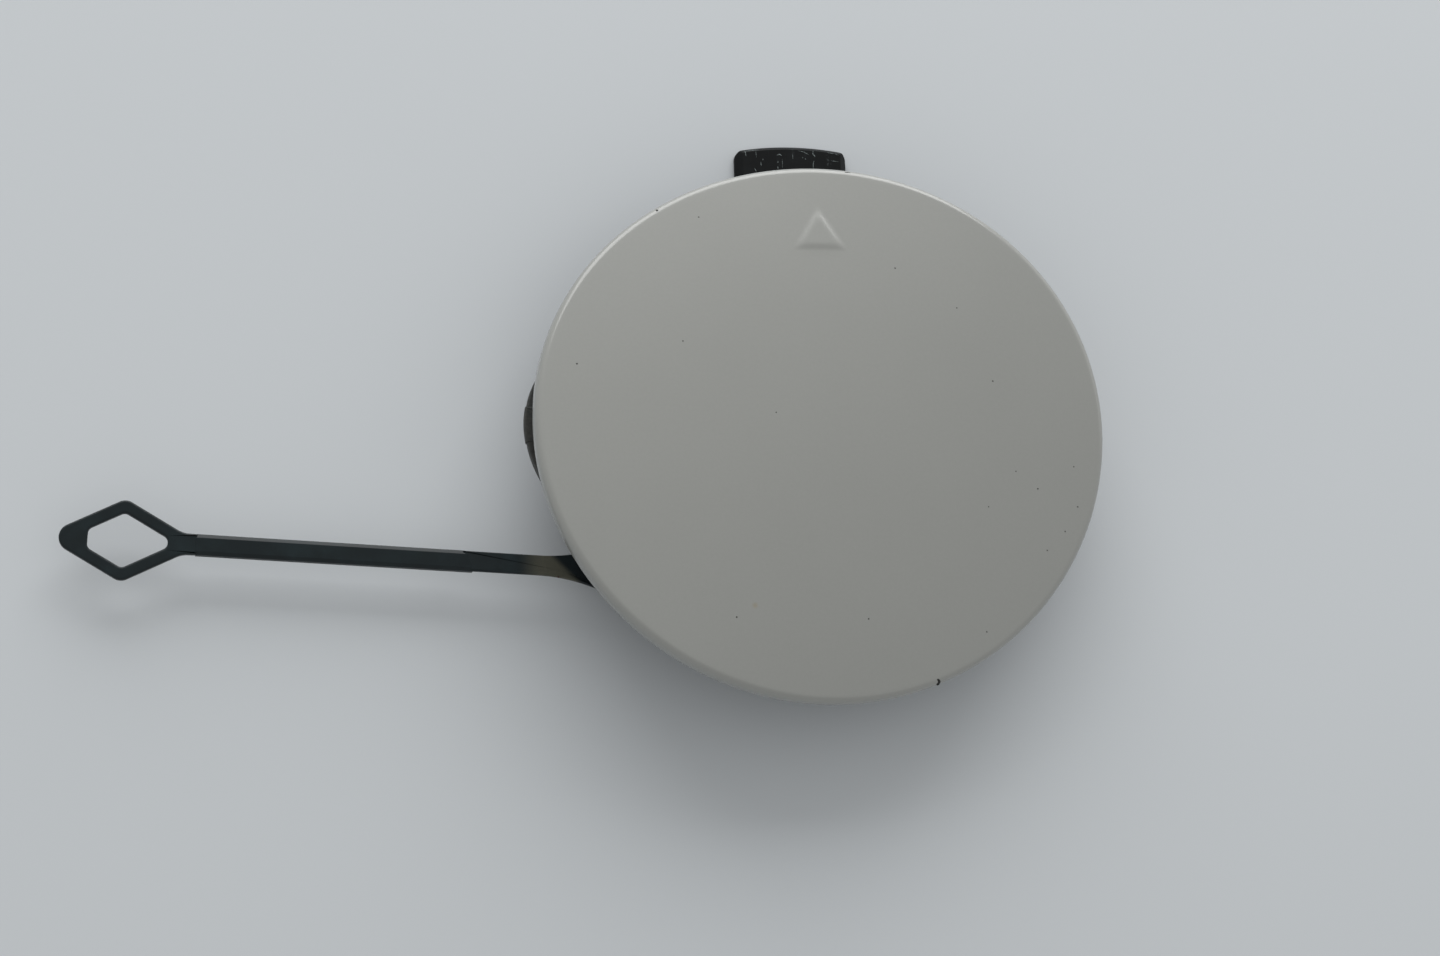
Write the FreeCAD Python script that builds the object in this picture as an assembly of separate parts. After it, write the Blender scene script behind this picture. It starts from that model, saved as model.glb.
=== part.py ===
"""Tow hook cover for a vehicle bumper.

One injection moulding: a crowned oval face plate with a raised press triangle, a round collar
behind it that carries a tongue, two pivot ears and a latch nose, and a moulded strap that ends
in a diamond anchor loop.

Frame: millimetres. The cover lies face up. Z is the axis of the collar and points out of the
face, Z = 0 is the plane of the collar's free end, and +Y points towards the press triangle.
"""
import FreeCAD, Part
import math
import os

NODE = "tow_hook_cover"

# Collar behind the face, which passes through the panel's hole
COLLAR_RADIUS = 30.0
COLLAR_WALL = 1.8
COLLAR_CHAMFER = 0.5
SPRING_SLOT_WIDTH = 1.4
SPRING_SLOT_DEPTH = 9.0

# Face plate, an oval that overlaps the panel all round the collar
OVERLAP_SIDES = 6.2
OVERLAP_ENDS = 3.8
PLATE_THICKNESS = 2.1
RIM_HEIGHT = 13.0
RIM_ROUNDING = 1.0

# Crown of the face: it bends like a barrel, tightly across one line and gently along it
CROWN_RADIUS_TIGHT = 171.0
CROWN_RADIUS_GENTLE = 1450.0
CROWN_TURN = 32.3

# Press triangle, raised on the face with sloped flanks
MARK_WIDTH = 6.95
MARK_LENGTH = 5.85
MARK_TO_RIM = 5.4
MARK_HEIGHT = 0.2
MARK_FLANK = 0.75
MARK_CORNER = 0.3

# Tongue at the collar's free end, set a little to the right
TONGUE_WIDTH = 15.0
TONGUE_SHIFT = 0.25
TONGUE_LENGTH = 10.4
TONGUE_THICKNESS = 1.6
TONGUE_CORNER = 0.9
TONGUE_BEVEL_WIDTH = 0.95
TONGUE_BEVEL_DROP = 0.9
TONGUE_NOSE_BEVEL = 0.45
TONGUE_NOSE_SHIFT = 1.2
GUSSET_SPACING = 9.6
GUSSET_THICKNESS = 1.2
GUSSET_REACH = 2.4
GUSSET_HEIGHT = 3.0

# Pivot ears, left and right, set a little towards the tongue
EAR_SHIFT = 0.6
EAR_LENGTH = 6.7
EAR_WIDTH = 16.0
EAR_NOSE_RADIUS = 11.7
EAR_DEPTH = 3.6
EAR_SLOPE = 0.35
EAR_LAND = 0.9
EAR_RAMP = 4.0
EAR_RIB_WIDTH = 4.5
EAR_RIB_PROUD = 0.12

# Latch nose, at the bottom
LATCH_LENGTH = 3.0
LATCH_WIDTH = 12.0
LATCH_DEPTH = 3.6
LATCH_SLOPE = 0.3
LATCH_LAND = 0.8
LATCH_RAMP = 4.0

# Strap
STRAP_TURN = 3.2
STRAP_OFFSET = 17.72
STRAP_TOP = 4.95
FILM_WIDTH = 2.4
FILM_THICKNESS = 0.8
FILM_LENGTH = 18.0
BAR_WIDTH = 2.5
BAR_THICKNESS = 1.4
BAR_LENGTH = 40.55
BAR_BEVEL_WIDTH = 0.45
BAR_BEVEL_DROP = 0.22
BAR_END_SLANT = 1.1
ROOT_WIDTH = 8.4
ROOT_FLARE_RADIUS = 22.0
ROOT_FLARE_START = 9.5

# Anchor loop
LOOP_HEIGHT = 9.9
LOOP_HALF_ANGLE = 28.5
LOOP_THICKNESS = 1.0
LOOP_BAR_WIDTH = 1.45
LOOP_SIDE_ROUNDING = 1.5
LOOP_TIP_ROUNDING = 1.65
LOOP_NECK_ROUNDING = 3.0
LOOP_NECK_LENGTH = 1.5
LOOP_TIP_FLAT = 2.2
LOOP_NECK_FLAT = 1.1
LOOP_HOLE_ROUNDING = 0.8

# Worked out from the sizes above
COLLAR_INSIDE = COLLAR_RADIUS - COLLAR_WALL
COLLAR_MIDDLE = COLLAR_RADIUS - COLLAR_WALL / 2
HALF_LENGTH = COLLAR_RADIUS + OVERLAP_SIDES
HALF_WIDTH = COLLAR_RADIUS + OVERLAP_ENDS
CROWN_RISE = HALF_LENGTH * HALF_WIDTH / 4 * (1 / CROWN_RADIUS_TIGHT + 1 / CROWN_RADIUS_GENTLE)
FACE_HEIGHT = RIM_HEIGHT + CROWN_RISE
TONGUE_REACH = COLLAR_RADIUS + TONGUE_LENGTH
STRAP_ROOT = math.sqrt(COLLAR_RADIUS ** 2 - STRAP_OFFSET ** 2)
STRAP_STEP = STRAP_ROOT + FILM_LENGTH
LOOP_CENTRE = STRAP_STEP + BAR_LENGTH

ORIGIN = FreeCAD.Vector(0, 0, 0)
X_AXIS = FreeCAD.Vector(1, 0, 0)
Y_AXIS = FreeCAD.Vector(0, 1, 0)
Z_AXIS = FreeCAD.Vector(0, 0, 1)


def vec(x, y, z):
    """Shorthand for a vector."""
    return FreeCAD.Vector(x, y, z)


def flat_face(points):
    """A flat face inside a closed outline of straight edges."""
    return Part.Face(Part.makePolygon(points + points[:1]))


def plan_prism(points, low, high):
    """An outline in plan, given as (x, y) pairs, between two heights."""
    return flat_face([vec(x, y, low) for x, y in points]).extrude(Z_AXIS * (high - low))


def side_prism(points, middle_x, width):
    """An outline seen from the side, given as (y, z) pairs, as wide as stated about middle_x."""
    return flat_face([vec(middle_x - width / 2, y, z) for y, z in points]).extrude(X_AXIS * width)


def column(radius, low, high):
    """A round column about the collar's axis between two heights."""
    return Part.makeCylinder(radius, high - low, vec(0, 0, low))


def turned(shape, degrees):
    """A copy of the shape, turned about the collar's axis."""
    copy = shape.copy()
    copy.rotate(ORIGIN, Z_AXIS, degrees)
    return copy


def rounded_uprights(shape, places, radius):
    """Rounds the upright edges that stand nearest to the given (x, y) places."""
    picked = []
    for x, y in places:
        uprights = []
        for edge in shape.Edges:
            ends = [vertex.Point for vertex in edge.Vertexes]
            if len(ends) == 2 and math.hypot(ends[0].x - ends[1].x, ends[0].y - ends[1].y) < 1e-6:
                uprights.append((math.hypot(ends[0].x - x, ends[0].y - y), edge))
        picked.append(min(uprights, key=lambda entry: entry[0])[1])
    return shape.makeFillet(radius, picked)


def crown_layer(inner, outer):
    """The layer between two offsets from the crowned face, outwards positive.

    Its section is a pair of arcs about one centre, swung about a far axis, so that each of its
    faces is a patch of a torus and it is equally thick all over.
    """
    reach = 1.2 * max(HALF_LENGTH, HALF_WIDTH)
    centre = FACE_HEIGHT - CROWN_RADIUS_TIGHT
    half = math.asin(reach / CROWN_RADIUS_TIGHT)
    low = CROWN_RADIUS_TIGHT + inner
    high = CROWN_RADIUS_TIGHT + outer

    def point(radius, angle):
        return vec(0, radius * math.sin(angle), centre + radius * math.cos(angle))

    section = Part.Face(Part.Wire([
        Part.Arc(point(high, -half), point(high, 0), point(high, half)).toShape(),
        Part.LineSegment(point(high, half), point(low, half)).toShape(),
        Part.Arc(point(low, half), point(low, 0), point(low, -half)).toShape(),
        Part.LineSegment(point(low, -half), point(high, -half)).toShape(),
    ]))
    swing_centre = vec(0, 0, FACE_HEIGHT - CROWN_RADIUS_GENTLE)
    swing = math.degrees(math.asin(reach / CROWN_RADIUS_GENTLE))
    section.rotate(swing_centre, Y_AXIS, -swing)
    return turned(section.revolve(swing_centre, Y_AXIS, 2 * swing), CROWN_TURN)


def face_at(x, y):
    """The height of the face and its outward direction over a place in plan."""
    turn = math.radians(CROWN_TURN)
    along = x * math.cos(turn) + y * math.sin(turn)
    across = y * math.cos(turn) - x * math.sin(turn)
    height = FACE_HEIGHT - along ** 2 / (2 * CROWN_RADIUS_GENTLE) - across ** 2 / (2 * CROWN_RADIUS_TIGHT)
    lean = vec(along / CROWN_RADIUS_GENTLE, across / CROWN_RADIUS_TIGHT, 1)
    direction = FreeCAD.Rotation(Z_AXIS, CROWN_TURN).multVec(lean)
    return height, direction.normalize()


def face_plate():
    """The crowned plate: an oval cut out of the crown's layer, with its outer edge rounded."""
    oval = Part.Ellipse(ORIGIN, max(HALF_LENGTH, HALF_WIDTH), min(HALF_LENGTH, HALF_WIDTH)).toShape()
    if HALF_WIDTH > HALF_LENGTH:
        oval.rotate(ORIGIN, Z_AXIS, 90)
    blank = Part.Face(Part.Wire(oval)).extrude(Z_AXIS * (FACE_HEIGHT + PLATE_THICKNESS))
    plate = blank.common(crown_layer(-PLATE_THICKNESS, 0))
    outer_edge = max(plate.Edges, key=lambda edge: edge.CenterOfMass.z)
    return plate.makeFillet(RIM_ROUNDING, [outer_edge])


def inner_radius(width, length):
    """The radius of the circle that touches all three sides of an upright triangle."""
    return width * length / (width + 2 * math.hypot(width / 2, length))


def rounded_triangle(width, length, level):
    """A triangle outline with rounded corners, its apex towards +Y, about its inner circle."""
    base = -inner_radius(width, length)
    corners = [vec(-width / 2, base, level), vec(width / 2, base, level), vec(0, base + length, level)]
    roundings = []
    for index, corner in enumerate(corners):
        back = (corners[index - 1] - corner).normalize()
        ahead = (corners[(index + 1) % 3] - corner).normalize()
        half = back.getAngle(ahead) / 2
        run = MARK_CORNER / math.tan(half)
        nearest = MARK_CORNER / math.sin(half) - MARK_CORNER
        middle = corner + (back + ahead).normalize() * nearest
        roundings.append((corner + back * run, middle, corner + ahead * run))
    edges = []
    for index, (start, middle, end) in enumerate(roundings):
        edges.append(Part.Arc(start, middle, end).toShape())
        edges.append(Part.LineSegment(end, roundings[(index + 1) % 3][0]).toShape())
    return Part.Wire(edges)


def press_mark():
    """The raised triangle: a tapered block that stands square to the face, topped by the crown."""
    radius = inner_radius(MARK_WIDTH, MARK_LENGTH)
    middle_y = HALF_WIDTH - MARK_TO_RIM - MARK_LENGTH + radius
    height, direction = face_at(0, middle_y)

    def outline(level):
        shrink = 1 - MARK_FLANK * level / MARK_HEIGHT / radius
        return rounded_triangle(MARK_WIDTH * shrink, MARK_LENGTH * shrink, level)

    block = Part.makeLoft([outline(-MARK_HEIGHT), outline(1.25 * MARK_HEIGHT)], True, True)
    block.Placement = FreeCAD.Placement(vec(0, middle_y, height), FreeCAD.Rotation(Z_AXIS, direction))
    return block.common(crown_layer(-PLATE_THICKNESS, MARK_HEIGHT))


def collar():
    """The round wall behind the plate, with slots that free the ears' and the latch's stretches."""
    section = flat_face([
        vec(COLLAR_INSIDE, 0, 0),
        vec(COLLAR_RADIUS - COLLAR_CHAMFER, 0, 0),
        vec(COLLAR_RADIUS, 0, COLLAR_CHAMFER),
        vec(COLLAR_RADIUS, 0, FACE_HEIGHT),
        vec(COLLAR_INSIDE, 0, FACE_HEIGHT),
    ])
    wall = section.revolve(ORIGIN, Z_AXIS, 360)
    wall = wall.common(crown_layer(-2 * FACE_HEIGHT, -PLATE_THICKNESS / 2))
    below = -SPRING_SLOT_WIDTH
    outside = COLLAR_RADIUS + SPRING_SLOT_WIDTH
    slots = []
    for side in (-1, 1):
        y = EAR_SHIFT + side * (EAR_WIDTH + SPRING_SLOT_WIDTH) / 2
        slots.append(Part.makeBox(2 * outside, SPRING_SLOT_WIDTH, SPRING_SLOT_DEPTH - below,
                                  vec(-outside, y - SPRING_SLOT_WIDTH / 2, below)))
        x = side * (LATCH_WIDTH + SPRING_SLOT_WIDTH) / 2
        slots.append(Part.makeBox(SPRING_SLOT_WIDTH, outside, SPRING_SLOT_DEPTH - below,
                                  vec(x - SPRING_SLOT_WIDTH / 2, -outside, below)))
    return wall.cut(slots)


def tongue_bevel(side):
    """The wedge that bevels the tongue's upper edge on one side."""
    edge = TONGUE_SHIFT + side * TONGUE_WIDTH / 2
    past = edge + side * TONGUE_BEVEL_WIDTH
    return flat_face([
        vec(edge - side * TONGUE_BEVEL_WIDTH, 0, TONGUE_THICKNESS),
        vec(past, 0, TONGUE_THICKNESS - 2 * TONGUE_BEVEL_DROP),
        vec(past, 0, TONGUE_THICKNESS),
    ]).extrude(Y_AXIS * (TONGUE_REACH + TONGUE_WIDTH))


def tongue_nose_bevel():
    """The ring that bevels the tongue's upper edge along its free end."""
    past = TONGUE_REACH + TONGUE_NOSE_BEVEL
    return flat_face([
        vec(TONGUE_REACH - TONGUE_NOSE_BEVEL, 0, TONGUE_THICKNESS),
        vec(past, 0, TONGUE_THICKNESS - 2 * TONGUE_NOSE_BEVEL),
        vec(past, 0, TONGUE_THICKNESS),
    ]).revolve(ORIGIN, Z_AXIS, 360).translated(X_AXIS * TONGUE_NOSE_SHIFT)


def tongue():
    """The flat tongue that reaches out past the rim, braced to the collar by two gussets.

    Its nose is an arc about a point a little to the right of the collar's axis.
    """
    sides = [TONGUE_SHIFT - TONGUE_WIDTH / 2, TONGUE_SHIFT + TONGUE_WIDTH / 2]
    left, right = sides
    past = TONGUE_REACH + TONGUE_WIDTH
    strip = plan_prism([(left, 0), (right, 0), (right, past), (left, past)], 0, TONGUE_THICKNESS)
    disc = column(TONGUE_REACH, 0, TONGUE_THICKNESS).translated(X_AXIS * TONGUE_NOSE_SHIFT)
    ring = disc.cut(column(COLLAR_MIDDLE, 0, TONGUE_THICKNESS))
    corners = [(x, math.sqrt(TONGUE_REACH ** 2 - (x - TONGUE_NOSE_SHIFT) ** 2)) for x in sides]
    plate = rounded_uprights(strip.common(ring), corners, TONGUE_CORNER)
    pieces = [plate.cut([tongue_bevel(-1), tongue_bevel(1), tongue_nose_bevel()])]
    root = TONGUE_THICKNESS / 2
    for side in (-1, 1):
        pieces.append(side_prism([
            (COLLAR_MIDDLE, root),
            (COLLAR_RADIUS + GUSSET_REACH, root),
            (COLLAR_RADIUS + GUSSET_REACH, TONGUE_THICKNESS),
            (COLLAR_MIDDLE, TONGUE_THICKNESS + GUSSET_HEIGHT),
        ], TONGUE_SHIFT + side * GUSSET_SPACING / 2, GUSSET_THICKNESS))
    return pieces


def ear_block(length, width):
    """A wedge that stands out of the collar's left side, with its nose rounded in plan."""
    nose = RIM_HEIGHT - EAR_DEPTH
    reach = COLLAR_RADIUS + length
    half = width / 2
    corner = reach - EAR_NOSE_RADIUS + math.sqrt(EAR_NOSE_RADIUS ** 2 - half ** 2)
    plan = Part.Face(Part.Wire([
        Part.LineSegment(vec(0, half, 0), vec(0, -half, 0)).toShape(),
        Part.LineSegment(vec(0, -half, 0), vec(-corner, -half, 0)).toShape(),
        Part.Arc(vec(-corner, -half, 0), vec(-reach, 0, 0), vec(-corner, half, 0)).toShape(),
        Part.LineSegment(vec(-corner, half, 0), vec(0, half, 0)).toShape(),
    ])).extrude(Z_AXIS * FACE_HEIGHT)
    wedge = flat_face([
        vec(0, -half, nose + EAR_SLOPE),
        vec(-COLLAR_RADIUS, -half, nose + EAR_SLOPE),
        vec(-reach, -half, nose),
        vec(-reach, -half, nose - EAR_LAND),
        vec(-COLLAR_RADIUS, -half, nose - EAR_LAND - EAR_RAMP),
        vec(0, -half, nose - EAR_LAND - EAR_RAMP),
    ]).extrude(Y_AXIS * width)
    block = plan.common(wedge).translated(Y_AXIS * EAR_SHIFT)
    return block.cut(column(COLLAR_MIDDLE, 0, FACE_HEIGHT))


def pivot_ears():
    """The left ear with its proud middle rib, and its mirror twin on the right."""
    ear = ear_block(EAR_LENGTH, EAR_WIDTH).fuse(ear_block(EAR_LENGTH + EAR_RIB_PROUD, EAR_RIB_WIDTH))
    return [ear, ear.mirror(ORIGIN, X_AXIS)]


def latch_nose():
    """The wedge at the bottom of the collar that snaps behind the panel."""
    nose = RIM_HEIGHT - LATCH_DEPTH
    return side_prism([
        (-COLLAR_MIDDLE, nose + LATCH_SLOPE),
        (-COLLAR_RADIUS, nose + LATCH_SLOPE),
        (-COLLAR_RADIUS - LATCH_LENGTH, nose),
        (-COLLAR_RADIUS - LATCH_LENGTH, nose - LATCH_LAND),
        (-COLLAR_RADIUS, nose - LATCH_LAND - LATCH_RAMP),
        (-COLLAR_MIDDLE, nose - LATCH_LAND - LATCH_RAMP),
    ], 0, LATCH_WIDTH)


def strap_film():
    """The thin stretch from the collar to the bar, flared where it leaves the collar.

    It ends on the slant of the bar's end. Film, bar and loop share one flat top.
    """
    narrow = FILM_WIDTH / 2
    wide = ROOT_WIDTH / 2
    rise = wide - narrow
    start = STRAP_ROOT + ROOT_FLARE_START
    span = math.acos(1 - rise / ROOT_FLARE_RADIUS)
    end = start - ROOT_FLARE_RADIUS * math.sin(span)
    root = math.sqrt(COLLAR_MIDDLE ** 2 - (STRAP_OFFSET + wide) ** 2)
    low = STRAP_TOP - FILM_THICKNESS
    lean = BAR_END_SLANT / 2 * FILM_WIDTH / BAR_WIDTH
    near_end = STRAP_STEP + lean
    far_end = STRAP_STEP - lean

    def place(u, side, half_width):
        return vec(u, STRAP_OFFSET + side * half_width, low)

    def flare(side):
        middle_u = start - ROOT_FLARE_RADIUS * math.sin(span / 2)
        middle_half = narrow + ROOT_FLARE_RADIUS * (1 - math.cos(span / 2))
        middle = place(middle_u, side, middle_half)
        return Part.Arc(place(end, side, wide), middle, place(start, side, narrow))

    outline = Part.Wire([
        Part.LineSegment(place(root, -1, wide), place(root, 1, wide)).toShape(),
        Part.LineSegment(place(root, 1, wide), place(end, 1, wide)).toShape(),
        flare(1).toShape(),
        Part.LineSegment(place(start, 1, narrow), place(far_end, 1, narrow)).toShape(),
        Part.LineSegment(place(far_end, 1, narrow), place(near_end, -1, narrow)).toShape(),
        Part.LineSegment(place(near_end, -1, narrow), place(start, -1, narrow)).toShape(),
        flare(-1).toShape(),
        Part.LineSegment(place(end, -1, wide), place(root, -1, wide)).toShape(),
    ])
    film = Part.Face(outline).extrude(Z_AXIS * FILM_THICKNESS)
    return film.cut(column(COLLAR_MIDDLE, 0, FACE_HEIGHT))


def anchor_loop():
    """The flat diamond loop with its slot, and the short neck by which the bar holds it."""
    low = STRAP_TOP - LOOP_THICKNESS
    high = STRAP_TOP
    slant = math.radians(LOOP_HALF_ANGLE)
    half_height = LOOP_HEIGHT / 2
    half_length = half_height / math.tan(slant)
    hole_height = half_height - LOOP_BAR_WIDTH / math.cos(slant)
    hole_length = hole_height / math.tan(slant)
    hole_to_tip = hole_length - LOOP_TIP_FLAT / 2 / math.tan(slant)
    hole_to_neck = hole_length - LOOP_NECK_FLAT / 2 / math.tan(slant)
    neck_half = BAR_WIDTH / 2
    neck = half_length - neck_half / math.tan(slant)

    def plan(points):
        return [(LOOP_CENTRE + u, STRAP_OFFSET + w) for u, w in points]

    corners = plan([(-half_length, 0), (0, -half_height), (half_length, 0), (0, half_height)])
    diamond = plan_prism(corners, low, high)
    diamond = rounded_uprights(diamond, [corners[1], corners[3]], LOOP_SIDE_ROUNDING)
    diamond = rounded_uprights(diamond, [corners[2]], LOOP_TIP_ROUNDING)
    outer = -(neck + LOOP_NECK_LENGTH)
    inner = -(neck + hole_to_neck) / 2
    stub = plan([(outer, -neck_half), (inner, -neck_half), (inner, neck_half), (outer, neck_half)])
    solid = diamond.fuse(plan_prism(stub, low, high)).removeSplitter()
    solid = rounded_uprights(solid, plan([(-neck, -neck_half), (-neck, neck_half)]), LOOP_NECK_ROUNDING)
    hole_corners = plan([
        (-hole_to_neck, -LOOP_NECK_FLAT / 2),
        (0, -hole_height),
        (hole_to_tip, -LOOP_TIP_FLAT / 2),
        (hole_to_tip, LOOP_TIP_FLAT / 2),
        (0, hole_height),
        (-hole_to_neck, LOOP_NECK_FLAT / 2),
    ])
    hole = rounded_uprights(plan_prism(hole_corners, low, high), hole_corners, LOOP_HOLE_ROUNDING)
    return solid.cut(hole)


def anchor_bar():
    """The thick bar from the loop's neck to the film, where it ends on a slant.

    Its two upper edges are bevelled.
    """
    slant = math.radians(LOOP_HALF_ANGLE)
    end = LOOP_CENTRE - (LOOP_HEIGHT - BAR_WIDTH) / 2 / math.tan(slant) - LOOP_NECK_LENGTH
    near = STRAP_OFFSET - BAR_WIDTH / 2
    far = STRAP_OFFSET + BAR_WIDTH / 2
    low = STRAP_TOP - BAR_THICKNESS
    high = STRAP_TOP
    start = STRAP_STEP - BAR_END_SLANT / 2
    blank = flat_face([
        vec(start, near, low),
        vec(start, far, low),
        vec(start, far, high - BAR_BEVEL_DROP),
        vec(start, far - BAR_BEVEL_WIDTH, high),
        vec(start, near + BAR_BEVEL_WIDTH, high),
        vec(start, near, high - BAR_BEVEL_DROP),
    ]).extrude(X_AXIS * (end - start))
    slant_end = plan_prism([(start, near), (start + BAR_END_SLANT, near), (start, far)], low, high)
    return blank.cut(slant_end)


def strap():
    """Film, bar and loop, laid out along X and then turned to the way that the strap leaves."""
    return turned(strap_film().fuse([anchor_bar(), anchor_loop()]), 180 - STRAP_TURN)


def tow_hook_cover():
    """The whole moulding as one solid."""
    pieces = [press_mark(), collar(), latch_nose(), strap()] + tongue() + pivot_ears()
    return face_plate().fuse(pieces).removeSplitter()


os.makedirs("parts", exist_ok=True)
cover = tow_hook_cover()
solid = cover.Solids[0]
print("solids", len(cover.Solids), "valid", cover.isValid(), "volume", round(cover.Volume, 1))
solid.exportStep(f"parts/{NODE}.step")
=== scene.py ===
"""Looks of a painted tow hook cover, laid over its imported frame.

The cover is one black moulding whose face was sprayed in body colour. Its visible surfaces are
worked out here as whole arrays, in millimetres and in the frame's own axes: +Z out of the face,
+Y towards the press triangle, Z = 0 at the collar's free end. Pieces become metres as they turn
into meshes. A height is a function of plan points, whose last axis holds X and Y.
"""
import logging
import math
from collections.abc import Callable
from dataclasses import dataclass, field
from enum import Enum

import bpy
import numpy as np
from mathutils import Matrix, Vector


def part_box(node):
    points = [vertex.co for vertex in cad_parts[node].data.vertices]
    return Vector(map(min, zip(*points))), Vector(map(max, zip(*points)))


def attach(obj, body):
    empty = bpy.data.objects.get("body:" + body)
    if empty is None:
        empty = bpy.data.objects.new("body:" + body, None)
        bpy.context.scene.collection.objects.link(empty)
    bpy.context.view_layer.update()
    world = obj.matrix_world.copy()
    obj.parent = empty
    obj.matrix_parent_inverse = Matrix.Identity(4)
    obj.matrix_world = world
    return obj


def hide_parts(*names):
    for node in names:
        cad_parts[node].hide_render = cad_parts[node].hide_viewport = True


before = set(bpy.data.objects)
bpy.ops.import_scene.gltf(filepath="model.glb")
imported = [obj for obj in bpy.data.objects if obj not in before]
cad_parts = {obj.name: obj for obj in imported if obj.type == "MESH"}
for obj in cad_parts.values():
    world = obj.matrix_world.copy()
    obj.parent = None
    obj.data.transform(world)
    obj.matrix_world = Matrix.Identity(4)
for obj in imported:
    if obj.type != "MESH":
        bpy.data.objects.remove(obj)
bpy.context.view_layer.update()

LOG = logging.getLogger("tow_hook_cover")
NODE = "tow_hook_cover"
BODY = "root"
MM = 0.001
QUARTER = math.pi / 2
FULL = 2 * math.pi
EDGE_POINTS = 5
ROOM_USED = 0.97
STRAIGHT = 1e-6

Array = np.ndarray
Height = Callable[[Array], Array]
Socket = bpy.types.NodeSocket
Tree = bpy.types.NodeTree
Triple = tuple[float, float, float]
Span = tuple[float, float, int]
Path = tuple[tuple[float, float], ...]


class Slot(Enum):
    """The record's material slots."""

    FACE_PAINT = "face_paint"
    BLACK_PLASTIC = "black_plastic"


class Side(Enum):
    """The two sides of the collar, by the sign of X."""

    LEFT = -1
    RIGHT = 1


def linear(code: str) -> tuple[float, float, float, float]:
    """Turns an sRGB colour into the linear one that a shader takes.

    Args:
        code: The colour as six hex digits, with a leading #.

    Returns:
        Linear red, green and blue, and an alpha of one.
    """
    shares = np.array([int(code[i:i + 2], 16) for i in (1, 3, 5)]) / 255.0
    values = np.where(shares <= 0.04045, shares / 12.92, ((shares + 0.055) / 1.055) ** 2.4)
    return (*values.tolist(), 1.0)


def per_metre(millimetres: float) -> float:
    """The pattern scale, in Object coordinates, of features about this far apart."""
    return 1.0 / (millimetres * MM)


def smooth_step(values: Array, start: float, end: float) -> Array:
    """Rises from 0 at start to 1 at end with no kink: 3t^2 - 2t^3 of the share t between them."""
    share = np.clip((values - start) / (end - start), 0.0, 1.0)
    return share * share * (3.0 - 2.0 * share)


def runs(*spans: Span) -> Array:
    """Evenly spaced values over spans of start, end and count, each without its end."""
    return np.concatenate([np.linspace(*span, endpoint=False) for span in spans])


def unit(vectors: Array) -> Array:
    """Vectors of length one along the last axis."""
    return vectors / np.linalg.norm(vectors, axis=-1, keepdims=True)


def polar(angle: Array, reach: Array | float) -> Array:
    """Plan points in given directions from the origin, as far out as given."""
    return np.stack([reach * np.cos(angle), reach * np.sin(angle)], axis=-1)


def raised(plan: Array, height: Array) -> Array:
    """Plan points with their heights."""
    return np.concatenate([plan, height[..., None]], axis=-1)


def mirrored(half: Array, signs: int | tuple[int, int] = 1) -> Array:
    """Points and then, in reverse order, their mirror images by the signs of both axes."""
    return np.concatenate([half, half[::-1] * signs])


def quarter_round(radius: float) -> tuple[Array, Array]:
    """A round edge's points from the face to the side.

    Args:
        radius: The edge's radius.

    Returns:
        At each angle a how far in they lie, radius * (1 - sin a), and how far down,
        radius * (1 - cos a).
    """
    angle = np.linspace(0.0, QUARTER, EDGE_POINTS)
    return radius * (1 - np.sin(angle)), radius * (1 - np.cos(angle))


def rounded_outline(corners: Array, radii: Array, steps: int = 9) -> Array:
    """A closed outline of straight sides and round corners.

    An arc of each corner's radius touches both its sides. It starts at the radius over the
    tangent of half the corner's angle, and its centre lies on the corner's bisector.

    Args:
        corners: Sharp corners in order, one per row.
        radii: One radius for each corner.
        steps: Points on each arc.

    Returns:
        The outline's points, one per row.
    """
    back = unit(np.roll(corners, 1, axis=0) - corners)
    ahead = unit(np.roll(corners, -1, axis=0) - corners)
    half = 0.5 * np.arccos(np.sum(back * ahead, axis=1))
    run = (radii / np.tan(half))[:, None]
    centre = corners + unit(back + ahead) * (radii / np.sin(half))[:, None]
    first = corners + back * run - centre
    last = corners + ahead * run - centre
    start = np.arctan2(first[:, 1], first[:, 0])
    sweep = np.arctan2(last[:, 1], last[:, 0]) - start
    sweep = (sweep + math.pi) % FULL - math.pi
    angle = start[:, None] + sweep[:, None] * np.linspace(0.0, 1.0, steps)
    return (polar(angle, radii[:, None]) + centre[:, None]).reshape(-1, 2)


def evenly_spaced(outline: Array, count: int) -> Array:
    """A closed outline resampled at equal steps of its length.

    Args:
        outline: The points, one per row.
        count: How many points come back.

    Returns:
        The new points, starting at the first old one.
    """
    closed = np.vstack([outline, outline[:1]])
    steps = np.linalg.norm(np.diff(closed, axis=0), axis=1)
    length = np.concatenate([[0.0], np.cumsum(steps)])
    at = np.linspace(0.0, length[-1], count, endpoint=False)
    return np.stack([np.interp(at, length, closed[:, k]) for k in (0, 1)], axis=1)


def seen_from_middle(outline: Array, angles: Array) -> Array:
    """A closed outline about the origin, resampled at given directions from there.

    Args:
        outline: The points, each seen from the origin past no other.
        angles: Directions in radians.

    Returns:
        One point of the outline for each direction.
    """
    direction = np.arctan2(outline[:, 1], outline[:, 0])
    order = np.argsort(direction)
    reach = np.hypot(outline[:, 0], outline[:, 1])
    found = np.interp(angles, direction[order], reach[order], period=FULL)
    return polar(angles, found)


def between_neighbours(points: Array) -> Array:
    """From each point's last neighbour to its next, round a closed outline."""
    return np.roll(points, -1, axis=0) - np.roll(points, 1, axis=0)


def away_from(outline: Array) -> Array:
    """Unit directions out of a counter-clockwise outline: its chords, turned a quarter turn."""
    chord = between_neighbours(outline)
    return unit(np.stack([chord[:, 1], -chord[:, 0]], axis=1))


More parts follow.
